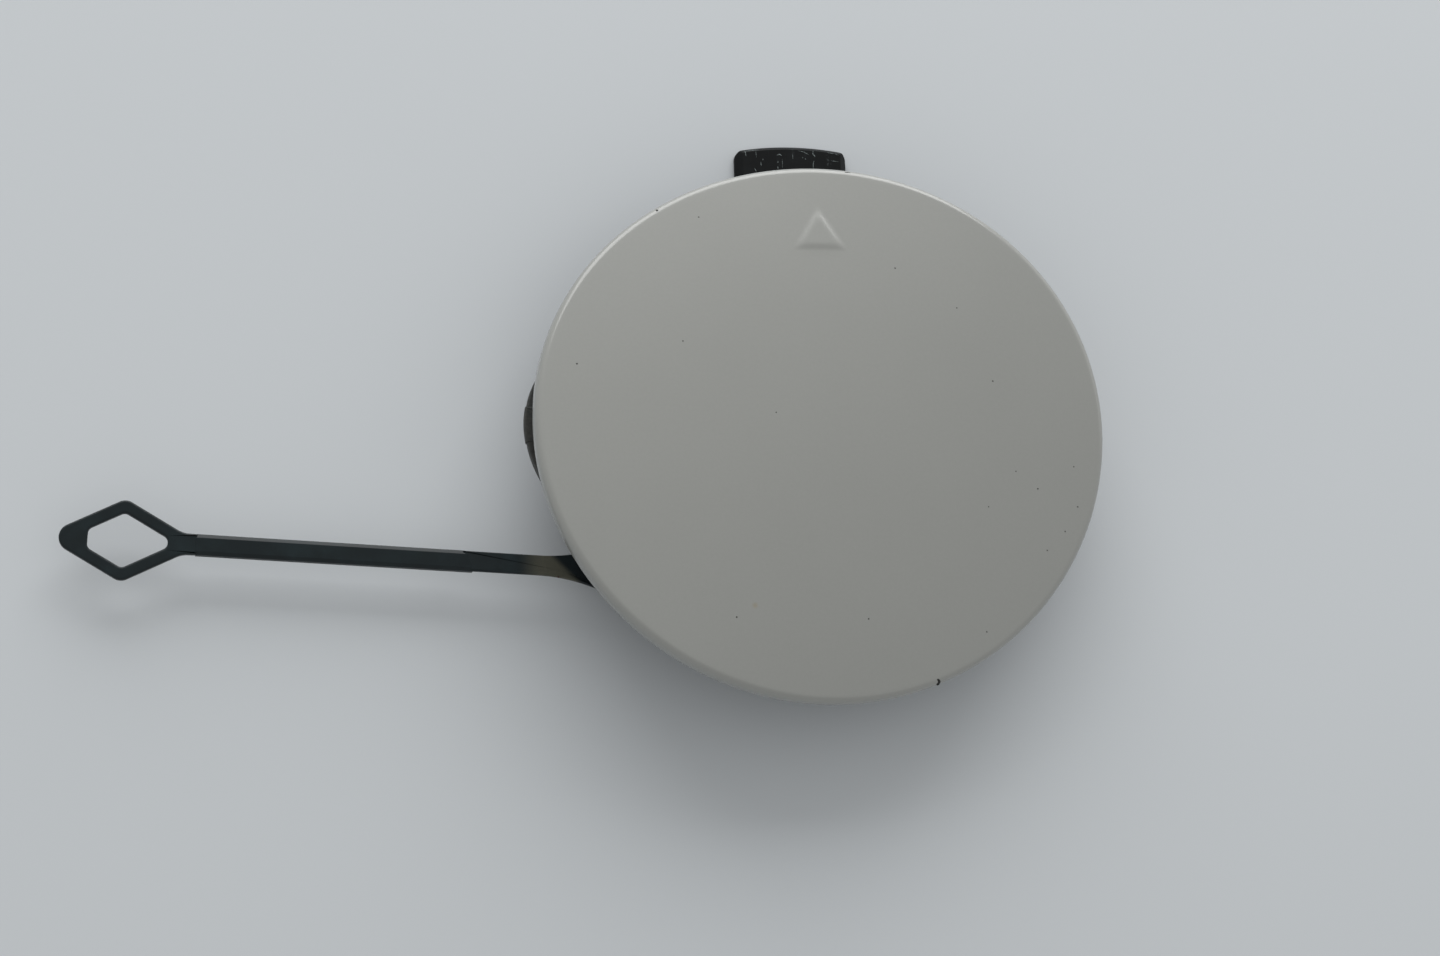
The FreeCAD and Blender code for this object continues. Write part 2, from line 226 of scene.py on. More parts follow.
def drawn_in(outline: Array, inset: Array) -> Array:
    """Copies of a plan outline, each moved inwards by one distance.

    At a corner no copy moves in by more than nearly the corner's own radius, which is
    chord / turn.

    Args:
        outline: Plan points, counter-clockwise.
        inset: The distances.

    Returns:
        The copies' points.
    """
    away = away_from(outline)
    chord, bend = (np.linalg.norm(between_neighbours(line), axis=1) for line in (outline, away))
    room = ROOM_USED * chord / np.maximum(bend, STRAIGHT)
    return outline - away * np.minimum(inset[:, None], room)[..., None]


def level(height: float) -> Height:
    """A height that is the same over every plan point."""
    return lambda plan: np.full(plan.shape[:-1], height)


@dataclass
class Surface:
    """A closed surface in millimetres: its points and its faces of four and of three corners."""

    points: Array
    quads: Array
    triangles: Array = field(default_factory=lambda: np.empty((0, 3), int))

    @classmethod
    def from_rings(cls, rings: Array, poles: Array | None = None) -> "Surface":
        """Joins rings of points into a closed surface.

        Args:
            rings: Points as (rings, points on each, 3).
            poles: The points that close the first and the last ring with a fan. Without them
                the last ring joins the first, as on a tyre.

        Returns:
            The surface, with its faces pointing outwards.
        """
        rows, columns, _ = rings.shape
        points = rings.reshape(-1, 3)
        row = np.arange(rows if poles is None else rows - 1)[:, None]
        after = (row + 1) % rows
        column = np.arange(columns)
        beside = (column + 1) % columns
        corners = [row * columns + column, row * columns + beside,
                   after * columns + beside, after * columns + column]
        quads = np.stack(corners, axis=-1).reshape(-1, 4)
        if poles is None:
            return cls(points, quads).facing_out()
        last = (rows - 1) * columns
        first_fan = np.stack([np.full(columns, len(points)), beside, column], axis=1)
        last_fan = np.stack([np.full(columns, len(points) + 1), last + column, last + beside],
                            axis=1)
        fans = np.concatenate([first_fan, last_fan])
        return cls(np.concatenate([points, poles]), quads, fans).facing_out()

    @classmethod
    def joined(cls, parts: list["Surface"]) -> "Surface":
        """Several surfaces, kept apart, in one mesh.

        Args:
            parts: The surfaces.

        Returns:
            All of them as one.
        """
        starts = np.cumsum([0] + [len(part.points) for part in parts[:-1]])
        return cls(np.concatenate([part.points for part in parts]),
                   np.concatenate([part.quads + s for part, s in zip(parts, starts)]),
                   np.concatenate([part.triangles + s for part, s in zip(parts, starts)]))

    def facing_out(self) -> "Surface":
        """Turns all faces round if the volume that they enclose comes out negative.

        Returns:
            The surface itself.
        """
        corners = self.points[self.quads]
        halves = np.concatenate([corners[:, [0, 1, 2]], corners[:, [0, 2, 3]],
                                 self.points[self.triangles]])
        if np.sum(halves[:, 0] * np.cross(halves[:, 1], halves[:, 2])) < 0:
            self.quads = self.quads[:, ::-1]
            self.triangles = self.triangles[:, ::-1]
        return self

    def placed(self, change: Callable[[Array], Array]) -> "Surface":
        """The surface with its points sent through a function, facing outwards again."""
        return Surface(change(self.points), self.quads, self.triangles).facing_out()

    def mesh(self, name: str) -> bpy.types.Mesh:
        """The surface as a smooth mesh in metres.

        Args:
            name: The mesh's name.

        Returns:
            The mesh.
        """
        mesh = bpy.data.meshes.new(name)
        faces = self.quads.tolist() + self.triangles.tolist()
        mesh.from_pydata((self.points * MM).tolist(), [], faces)
        mesh.polygons.foreach_set("use_smooth", np.ones(len(faces), bool))
        mesh.update()
        return mesh


def slab(outline: Array, low: Height, high: Height, rounding: float,
         shares: tuple[float, ...] = (0.4, 0.96), insets: tuple[float, ...] = ()) -> Surface:
    """A plate over a plan outline, between two heights, with round edges.

    Inside its round edges come rings at even distances from the outline, and then rings drawn
    in towards its middle.

    Args:
        outline: Plan points, counter-clockwise.
        low: Height of the underside.
        high: Height of the top.
        rounding: Radius of the edges.
        shares: How far out the drawn-in rings lie, from the middle at 0.
        insets: Distances from the outline of the rings round them, the furthest first.

    Returns:
        The closed surface.
    """
    middle = outline.mean(axis=0)
    curve, fall = quarter_round(rounding)
    inset = np.concatenate([np.full(len(shares), max((rounding, *insets))), insets, curve])
    drop = np.concatenate([np.zeros(len(shares) + len(insets)), fall])[:, None]
    share = np.concatenate([shares, np.ones(len(insets) + len(curve))])
    plan = middle + (drawn_in(outline, inset) - middle) * share[:, None, None]
    top, bottom = raised(plan, high(plan) - drop), raised(plan, low(plan) + drop)
    poles = np.array([[*middle, float(height(middle))] for height in (high, low)])
    return Surface.from_rings(np.concatenate([top, bottom[::-1]]), poles)


def prism(corners: Array, rounding: float, count: int, width: float, edge: float,
          middle: float = 0.0) -> Surface:
    """A block with one outline in Y and Z all along X.

    Args:
        corners: The outline's sharp corners, as Y and Z.
        rounding: Radius of those corners.
        count: Points round the outline.
        width: Width along X.
        edge: Radius of the edges at both ends.
        middle: X of its middle.

    Returns:
        The closed surface.
    """
    outline = evenly_spaced(rounded_outline(corners, np.full(len(corners), rounding)), count)
    block = slab(outline, level(-width / 2), level(width / 2), edge)
    return block.placed(lambda p: np.stack([p[:, 2] + middle, p[:, 0], p[:, 1]], axis=1))


def add_node(tree: Tree, kind: str, settings: dict | None = None,
             inputs: dict | None = None) -> bpy.types.Node:
    """Adds one shader node with its settings and links.

    Args:
        tree: The material's or the world's nodes.
        kind: The node's type.
        settings: The node's own properties.
        inputs: A value, or another node's output, for each input's name or number.

    Returns:
        The new node.
    """
    node = tree.nodes.new(kind)
    for name, value in (settings or {}).items():
        setattr(node, name, value)
    for key, value in (inputs or {}).items():
        if isinstance(value, Socket):
            tree.links.new(value, node.inputs[key])
        else:
            node.inputs[key].default_value = value
    return node


COLOUR = {"data_type": "RGBA"}
FACTOR, FIRST, SECOND, MIXED = 0, 6, 7, 2
SMOOTH = {"interpolation_type": "SMOOTHSTEP"}
PRODUCT = {"operation": "MULTIPLY", "use_clamp": True}
DOT_PRODUCT = {"operation": "DOT_PRODUCT"}


@dataclass(frozen=True)
class Finish:
    """What every finish has: the name of the real material."""

    name: str

    def lay(self, tree: Tree, place: Socket) -> dict:
        """Adds the finish's nodes, up to the shader that they end in.

        Args:
            tree: The material's nodes.
            place: Object coordinates.

        Returns:
            The shader's inputs.
        """
        raise NotImplementedError

    def material(self) -> bpy.types.Material:
        """The finish as a material, made the first time that it is asked for.

        Returns:
            The material.
        """
        made = bpy.data.materials.get(self.name)
        if made is None:
            made = bpy.data.materials.new(self.name)
            made.use_nodes = True
            tree = made.node_tree
            tree.nodes.clear()
            place = add_node(tree, "ShaderNodeTexCoord").outputs["Object"]
            shader = add_node(tree, "ShaderNodeBsdfPrincipled", inputs=self.lay(tree, place))
            add_node(tree, "ShaderNodeOutputMaterial", inputs={"Surface": shader.outputs[0]})
        return made


@dataclass(frozen=True)
class BodyPaint(Finish):
    """Two-layer automotive paint: a sprayed grey base coat under a glossy clear coat.

    The eye sees an even warm grey with a fine flake grain, very slow clouds from the spray
    gun's passes, soft reflections with a little orange peel, and one pale brown stain. Real
    flakes are a few hundredths of a millimetre across and would not show, so they are coarser.
    """

    flake_dark: str = "#8B8C88"
    flake_light: str = "#939490"
    flake_mm: float = 0.4
    cloud_mm: float = 16.0
    peel_mm: float = 2.6
    peel_depth_mm: float = 0.0015
    stain: str = "#8B7F63"
    stain_mm: Triple = (-10.2, -22.2, 14.3)
    stain_radius_mm: float = 0.55
    stain_most: float = 0.5

    def lay(self, tree: Tree, place: Socket) -> dict:
        """Adds flake, clouds, stain and orange peel under a clear coat.

        Args:
            tree: The material's nodes.
            place: Object coordinates.

        Returns:
            The shader's inputs.
        """
        flake = add_node(tree, "ShaderNodeTexNoise", inputs={
            "Vector": place, "Scale": per_metre(self.flake_mm), "Detail": 2.0, "Roughness": 0.6})
        cloud = add_node(tree, "ShaderNodeTexNoise", inputs={
            "Vector": place, "Scale": per_metre(self.cloud_mm), "Detail": 3.0, "Roughness": 0.5})
        half = add_node(tree, "ShaderNodeMath", {"operation": "MULTIPLY"}, {
            0: cloud.outputs["Fac"], 1: 0.5})
        share = add_node(tree, "ShaderNodeMath", {"operation": "MULTIPLY_ADD", "use_clamp": True}, {
            0: flake.outputs["Fac"], 1: 0.5, 2: half.outputs[0]})
        coat = add_node(tree, "ShaderNodeMix", COLOUR, {
            FACTOR: share.outputs[0], FIRST: linear(self.flake_dark),
            SECOND: linear(self.flake_light)})
        away = add_node(tree, "ShaderNodeVectorMath", {"operation": "DISTANCE"}, {
            0: place, 1: tuple(MM * value for value in self.stain_mm)})
        spot = add_node(tree, "ShaderNodeMapRange", SMOOTH, {
            "Value": away.outputs["Value"], "From Min": self.stain_radius_mm * MM,
            "From Max": 0.0, "To Max": self.stain_most})
        stained = add_node(tree, "ShaderNodeMix", COLOUR, {
            FACTOR: spot.outputs[0], FIRST: coat.outputs[MIXED], SECOND: linear(self.stain)})
        peel = add_node(tree, "ShaderNodeTexNoise", inputs={
            "Vector": place, "Scale": per_metre(self.peel_mm), "Detail": 1.0})
        skin = add_node(tree, "ShaderNodeBump", inputs={
            "Strength": 1.0, "Distance": self.peel_depth_mm * MM, "Height": peel.outputs["Fac"]})
        return {"Base Color": stained.outputs[MIXED], "Roughness": 0.5, "IOR": 1.45,
                "Coat Weight": 1.0, "Coat Roughness": 0.16, "Coat IOR": 1.5,
                "Normal": skin.outputs["Normal"], "Coat Normal": skin.outputs["Normal"]}


@dataclass(frozen=True)
class MouldedPolypropylene(Finish):
    """Black polypropylene as it comes from a spark-eroded mould.

    It looks blue-black and satin, with a fine even grain and faint paler rubs. A real grain of
    about 0.05 mm would not show, so it is coarser.
    """

    base: str = "#0C171A"
    rubbed: str = "#162326"
    grain_mm: float = 0.22
    grain_depth_mm: float = 0.01
    rub_mm: float = 5.0
    roughness: float = 0.4
    specular: float = 0.3

    def lay(self, tree: Tree, place: Socket) -> dict:
        """Adds the grained black skin and what lies over it.

        Args:
            tree: The material's nodes.
            place: Object coordinates.

        Returns:
            The shader's inputs.
        """
        rub = add_node(tree, "ShaderNodeTexNoise", inputs={
            "Vector": place, "Scale": per_metre(self.rub_mm), "Detail": 4.0, "Roughness": 0.6})
        share = add_node(tree, "ShaderNodeMapRange", SMOOTH, {
            "Value": rub.outputs["Fac"], "From Min": 0.42, "From Max": 0.75})
        skin = add_node(tree, "ShaderNodeMix", COLOUR, {
            FACTOR: share.outputs[0], FIRST: linear(self.base), SECOND: linear(self.rubbed)})
        grain = add_node(tree, "ShaderNodeTexNoise", inputs={
            "Vector": place, "Scale": per_metre(self.grain_mm), "Detail": 2.0, "Roughness": 0.5})
        bump = add_node(tree, "ShaderNodeBump", inputs={
            "Strength": 1.0, "Distance": self.grain_depth_mm * MM, "Height": grain.outputs["Fac"]})
        return {"Base Color": self.cover(tree, place, skin.outputs[MIXED]), "IOR": 1.49,
                "Roughness": self.roughness, "Specular IOR Level": self.specular,
                "Normal": bump.outputs["Normal"]}

    def cover(self, tree: Tree, place: Socket, skin: Socket) -> Socket:
        """Adds what lies over the skin's colour. The bare plastic has nothing there."""
        return skin


@dataclass(frozen=True)
class OversprayedShadedPolypropylene(MouldedPolypropylene):
    """The strap's black film where paint mist drifted past the face while it was sprayed.

    The mist lies as olive grey dust and thins out along the strap. Beside the face it stops
    sharply at a slanted line, and nearer the face the film is left bare and dark as a painted
    shadow of the face. Its grains are drawn coarser than real droplets of mist, so that they
    show.
    """

    roughness: float = 0.62
    mist: str = "#57564A"
    mist_mm: float = 0.3
    turn: float = 3.2
    # Painted shadow of the face on the film: the slanted line's direction, and where the mist is
    # left off and where it comes back.
    face_shadow_way: float = 224.2
    shadow_full_to_mm: float = 33.4
    shadow_gone_from_mm: float = 34.3
    full_at_mm: float = 33.0
    gone_at_mm: float = 36.4
    most: float = 0.8

    def cover(self, tree: Tree, place: Socket, skin: Socket) -> Socket:
        """Adds the mist, between the slanted line beside the face and where it thins out.

        Nearer the face than that line the film stays bare and dark: a painted shadow of the face.

        Args:
            tree: The material's nodes.
            place: Object coordinates.
            skin: The bare plastic's colour.

        Returns:
            The colour with what lies over it.
        """
        turn, way = math.radians(self.turn), math.radians(self.face_shadow_way)
        along = add_node(tree, "ShaderNodeVectorMath", DOT_PRODUCT, {
            0: place, 1: (-math.cos(turn), math.sin(turn), 0.0)})
        reach = add_node(tree, "ShaderNodeMapRange", SMOOTH, {
            "Value": along.outputs["Value"], "From Min": self.gone_at_mm * MM,
            "From Max": self.full_at_mm * MM, "To Max": self.most})
        # Painted shadow of the face: inside this slanted line the mist is left off, so the film
        # stays dark there.
        away = add_node(tree, "ShaderNodeVectorMath", DOT_PRODUCT, {
            0: place, 1: (math.cos(way), math.sin(way), 0.0)})
        outside_shadow = add_node(tree, "ShaderNodeMapRange", SMOOTH, {
            "Value": away.outputs["Value"], "From Min": self.shadow_full_to_mm * MM,
            "From Max": self.shadow_gone_from_mm * MM})
        dust = add_node(tree, "ShaderNodeTexNoise", inputs={
            "Vector": place, "Scale": per_metre(self.mist_mm), "Detail": 3.0, "Roughness": 0.7})
        thinned = add_node(tree, "ShaderNodeMath", {"operation": "MULTIPLY_ADD"}, {
            0: dust.outputs["Fac"], 1: 0.5, 2: 0.75})
        mist_outside_shadow = add_node(tree, "ShaderNodeMath", {"operation": "MULTIPLY"}, {
            0: reach.outputs[0], 1: outside_shadow.outputs[0]})
        share = add_node(tree, "ShaderNodeMath", PRODUCT, {
            0: mist_outside_shadow.outputs[0], 1: thinned.outputs[0]})
        return add_node(tree, "ShaderNodeMix", COLOUR, {
            FACTOR: share.outputs[0], FIRST: skin, SECOND: linear(self.mist)}).outputs[MIXED]


@dataclass(frozen=True)
class OversprayedBack(MouldedPolypropylene):
    """Bare black plastic with paint mist that thickens with the distance from the axis.

    Its grains, too, are coarser than real droplets, so that they show.
    """

    roughness: float = 0.55
    mist: str = "#6A6B66"
    mist_mm: float = 0.5
    full_at_mm: float = 36.0
    gone_at_mm: float = 31.5
    most: float = 0.55

    def cover(self, tree: Tree, place: Socket, skin: Socket) -> Socket:
        """Adds mist by the distance from the collar's axis.

        Args:
            tree: The material's nodes.
            place: Object coordinates.
            skin: The bare plastic's colour.

        Returns:
            The colour with what lies over it.
        """
        flat = add_node(tree, "ShaderNodeVectorMath", {"operation": "MULTIPLY"}, {
            0: place, 1: (1.0, 1.0, 0.0)})
        away = add_node(tree, "ShaderNodeVectorMath", {"operation": "LENGTH"}, {
            0: flat.outputs["Vector"]})
        reach = add_node(tree, "ShaderNodeMapRange", SMOOTH, {
            "Value": away.outputs["Value"], "From Min": self.gone_at_mm * MM,
            "From Max": self.full_at_mm * MM, "To Max": self.most})
        dust = add_node(tree, "ShaderNodeTexNoise", inputs={
            "Vector": place, "Scale": per_metre(self.mist_mm), "Detail": 3.0, "Roughness": 0.7})
        share = add_node(tree, "ShaderNodeMath", PRODUCT, {
            0: reach.outputs[0], 1: dust.outputs["Fac"]})
        return add_node(tree, "ShaderNodeMix", COLOUR, {
            FACTOR: share.outputs[0], FIRST: skin, SECOND: linear(self.mist)}).outputs[MIXED]


@dataclass(frozen=True)
class ScuffedPolypropylene(MouldedPolypropylene):
    """The tongue's black plastic, rubbed in radial streaks as it was pushed behind the panel."""

    base: str = "#0D0F10"
    rubbed: str = "#16191A"
    roughness: float = 0.46
    specular: float = 0.15
    scuff: str = "#4A4F50"
    streak_mm: float = 1.1
    streak_length_mm: float = 14.0
    fleck_mm: float = 0.5

    def cover(self, tree: Tree, place: Socket, skin: Socket) -> Socket:
        """Adds pale streaks drawn out along Y, broken up into flecks.

        Args:
            tree: The material's nodes.
            place: Object coordinates.
            skin: The bare plastic's colour.

        Returns:
            The colour with what lies over it.
        """
        drawn = add_node(tree, "ShaderNodeMapping", inputs={
            "Vector": place,
            "Scale": (per_metre(self.streak_mm), per_metre(self.streak_length_mm), 1.0)})
        streak = add_node(tree, "ShaderNodeTexNoise", inputs={
            "Vector": drawn.outputs[0], "Scale": 1.0, "Detail": 3.0, "Roughness": 0.7})
        fleck = add_node(tree, "ShaderNodeTexNoise", inputs={
            "Vector": place, "Scale": per_metre(self.fleck_mm), "Detail": 2.0, "Roughness": 0.8})
        long = add_node(tree, "ShaderNodeMapRange", SMOOTH, {
            "Value": streak.outputs["Fac"], "From Min": 0.56, "From Max": 0.72})
        short = add_node(tree, "ShaderNodeMapRange", SMOOTH, {
            "Value": fleck.outputs["Fac"], "From Min": 0.45, "From Max": 0.62})
        share = add_node(tree, "ShaderNodeMath", PRODUCT, {
            0: long.outputs[0], 1: short.outputs[0]})
        return add_node(tree, "ShaderNodeMix", COLOUR, {
            FACTOR: share.outputs[0], FIRST: skin, SECOND: linear(self.scuff)}).outputs[MIXED]


@dataclass(frozen=True)
class WhitenedPolypropylene(Finish):
    """Black polypropylene drawn pale and dull where something hard scratched it."""

    pale: str = "#7D8787"
    dark: str = "#39403F"
    uneven_mm: float = 0.12

    def lay(self, tree: Tree, place: Socket) -> dict:
        """Adds a dull colour that comes and goes along each scratch.

        Args:
            tree: The material's nodes.
            place: Object coordinates.

        Returns:
            The shader's inputs.
        """
        uneven = add_node(tree, "ShaderNodeTexNoise", inputs={
            "Vector": place, "Scale": per_metre(self.uneven_mm), "Detail": 1.0})
        share = add_node(tree, "ShaderNodeMapRange", SMOOTH, {
            "Value": uneven.outputs["Fac"], "From Min": 0.36, "From Max": 0.6})
        colour = add_node(tree, "ShaderNodeMix", COLOUR, {
            FACTOR: share.outputs[0], FIRST: linear(self.dark), SECOND: linear(self.pale)})
        return {"Base Color": colour.outputs[MIXED], "Roughness": 0.7}


@dataclass(frozen=True)
class Grime(Finish):
    """Road dirt baked into the clear coat, or a bare spot: matt and nearly black."""

    base: str = "#4A4A45"
    dark: str = "#1B1C1B"
    uneven_mm: float = 0.15

    def lay(self, tree: Tree, place: Socket) -> dict:
        """Adds an uneven matt colour.

        Args:
            tree: The material's nodes.
            place: Object coordinates.

        Returns:
            The shader's inputs.
        """
        uneven = add_node(tree, "ShaderNodeTexNoise", inputs={
            "Vector": place, "Scale": per_metre(self.uneven_mm), "Detail": 2.0})
        colour = add_node(tree, "ShaderNodeMix", COLOUR, {
            FACTOR: uneven.outputs["Fac"], FIRST: linear(self.dark), SECOND: linear(self.base)})
        return {"Base Color": colour.outputs[MIXED], "Roughness": 0.8}


@dataclass(frozen=True)
class MattBoard(Finish):
    """A plain pale board, painted matt, which gives an even ground with soft shadows."""

    colour: str = "#C9CDD0"

    def lay(self, tree: Tree, place: Socket) -> dict:
        """Gives the board one even colour."""
        return {"Base Color": linear(self.colour), "Roughness": 0.9, "Specular IOR Level": 0.2}


PAINT = BodyPaint("automotive_paint")
PLASTIC = MouldedPolypropylene("moulded_polypropylene")
FILM_PLASTIC = OversprayedShadedPolypropylene("oversprayed_shaded_polypropylene")
BACK_PLASTIC = OversprayedBack("oversprayed_plate_back")
EAR_PLASTIC = OversprayedBack("oversprayed_ear", mist="#66625B", full_at_mm=36.2, gone_at_mm=32.0)
TONGUE_PLASTIC = ScuffedPolypropylene("scuffed_polypropylene")
SCRATCHED = WhitenedPolypropylene("whitened_polypropylene")
DIRT = Grime("baked_on_dirt")
CHIPPED = Grime("chipped_to_plastic", base="#20211F")
RUST = Grime("rust_spot", base="#5A241C")
BOARD = MattBoard("matt_board")


@dataclass(frozen=True)
class Crown:
    """The barrel-shaped crown that the face, its underside and every mark on it follow.

    It bends by the tight radius across one line, and by the gentle one along it. The line is
    turned from +X. All lengths are in millimetres.
    """

    apex: float
    radius_tight: float = 171.0
    radius_gentle: float = 1450.0
    turn: float = 32.3

    def height(self, plan: Array, offset: float = 0.0) -> Array:
        """Height of the crown, moved outwards by an offset.

        An arc of the tight radius is swung about an axis that lies the gentle radius below the
        apex: z = swing + sqrt((arc + sqrt((tight + offset)^2 - across^2) - swing)^2 - along^2),
        where arc and swing are the heights of the arc's centre and of the axis.

        Args:
            plan: Plan points.
            offset: Distance outwards from the face.

        Returns:
            The heights.
        """
        turn = math.radians(self.turn)
        x, y = plan[..., 0], plan[..., 1]
        along = x * math.cos(turn) + y * math.sin(turn)
        across = y * math.cos(turn) - x * math.sin(turn)
        arc = self.apex - self.radius_tight
        swing = self.apex - self.radius_gentle
        lift = arc + np.sqrt((self.radius_tight + offset) ** 2 - across ** 2) - swing
        return swing + np.sqrt(lift ** 2 - along ** 2)


@dataclass(frozen=True)
class Moulding:
    """Sizes that several features of the moulding share, in millimetres."""

    crown: Crown
    collar_radius: float = 30.0
    collar_wall: float = 1.8
    plate_thickness: float = 2.1
    rim_height: float = 13.0
    strap_top: float = 4.95

    @property
    def collar_inside(self) -> float:
        """Radius of the collar's hollow."""
        return self.collar_radius - self.collar_wall

    @property
    def collar_middle(self) -> float:
        """Radius of the middle of the collar's wall, where what it carries begins."""
        return self.collar_radius - self.collar_wall / 2

    def underside(self, plan: Array) -> Array:
        """Height of the plate's underside."""
        return self.crown.height(plan, -self.plate_thickness)


class Feature:
    """One feature of the moulding, with what all of them need to become pieces."""

    @staticmethod
    def show(surface: Surface, name: str, *finishes: Finish, slot: Slot = Slot.BLACK_PLASTIC,
             bevel: float = 0.0) -> bpy.types.Object:
        """Turns a surface into a piece that rides with the cover and stands for it.

        Args:
            surface: The shape in millimetres.
            name: The piece's name.
            finishes: The finishes, in the order of the mesh's material numbers.
            slot: The record's material slot, which is only named in the log.
            bevel: Width of the round on sharp edges, where the surface has none of its own.

        Returns:
            The piece.
        """
        piece = bpy.data.objects.new(name, surface.mesh(name))
        bpy.context.scene.collection.objects.link(piece)
        for finish in finishes:
            piece.data.materials.append(finish.material())
        if bevel:
            edge = piece.modifiers.new("moulded edges", "BEVEL")
            edge.width = bevel * MM
            edge.segments = 2
            edge.limit_method = "ANGLE"
            edge.angle_limit = math.radians(40)
        even = piece.modifiers.new("even shading", "WEIGHTED_NORMAL")
        even.weight = 100
        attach(piece, BODY)
        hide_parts(NODE)
        LOG.info("%s: %d points, slot %s", name, len(piece.data.vertices), slot.value)
        return piece


@dataclass(frozen=True)
class PressMark:
    """The raised triangle near the top of the face, in millimetres."""

    width: float = 6.95
    length: float = 5.85
    to_rim: float = 5.4
    height: float = 0.15
    flank: float = 0.75
    softness: float = 0.26
    corner: float = 0.3
    far: float = 8.0

    def rise(self, plan: Array, rim: float) -> Array:
        """How far the mark lifts the face.

        The depth inside the triangle is a soft minimum of the depths inside its three sides.
        Past the far depth they no longer grow. The lift rises with that least depth over the
        flank's width. Both ends of the rise are parabolas, as thick as paint makes them.

        Args:
            plan: Plan points.
            rim: Where the rim crosses the Y axis.

        Returns:
            The lift.
        """
        x, y = plan[..., 0], plan[..., 1]
        apex = rim - self.to_rim
        base = apex - self.length
        lean = math.hypot(self.width / 2, self.length)
        sides = [(apex - y) * self.width / 2 / lean - sign * x * self.length / lean
                 for sign in (-1, 1)]
        depths = np.stack([y - base, *sides])
        depths = depths.clip(-self.far, self.far)
        least = -self.corner * np.log(np.sum(np.exp(-depths / self.corner), axis=0))
        return self.height / self.flank * (self.ramp(least) - self.ramp(least - self.flank))

    def ramp(self, depth: Array) -> Array:
        """Zero below no depth and the depth itself above it, joined by a parabola.

        Args:
            depth: Depths inside the triangle.

        Returns:
            Their ramp, (depth + soft)^2 / (4 soft) between -soft and soft.
        """
        soft = self.softness
        joined = (depth + soft) ** 2 / (4 * soft)
        return np.where(depth < -soft, 0.0, np.where(depth > soft, depth, joined))


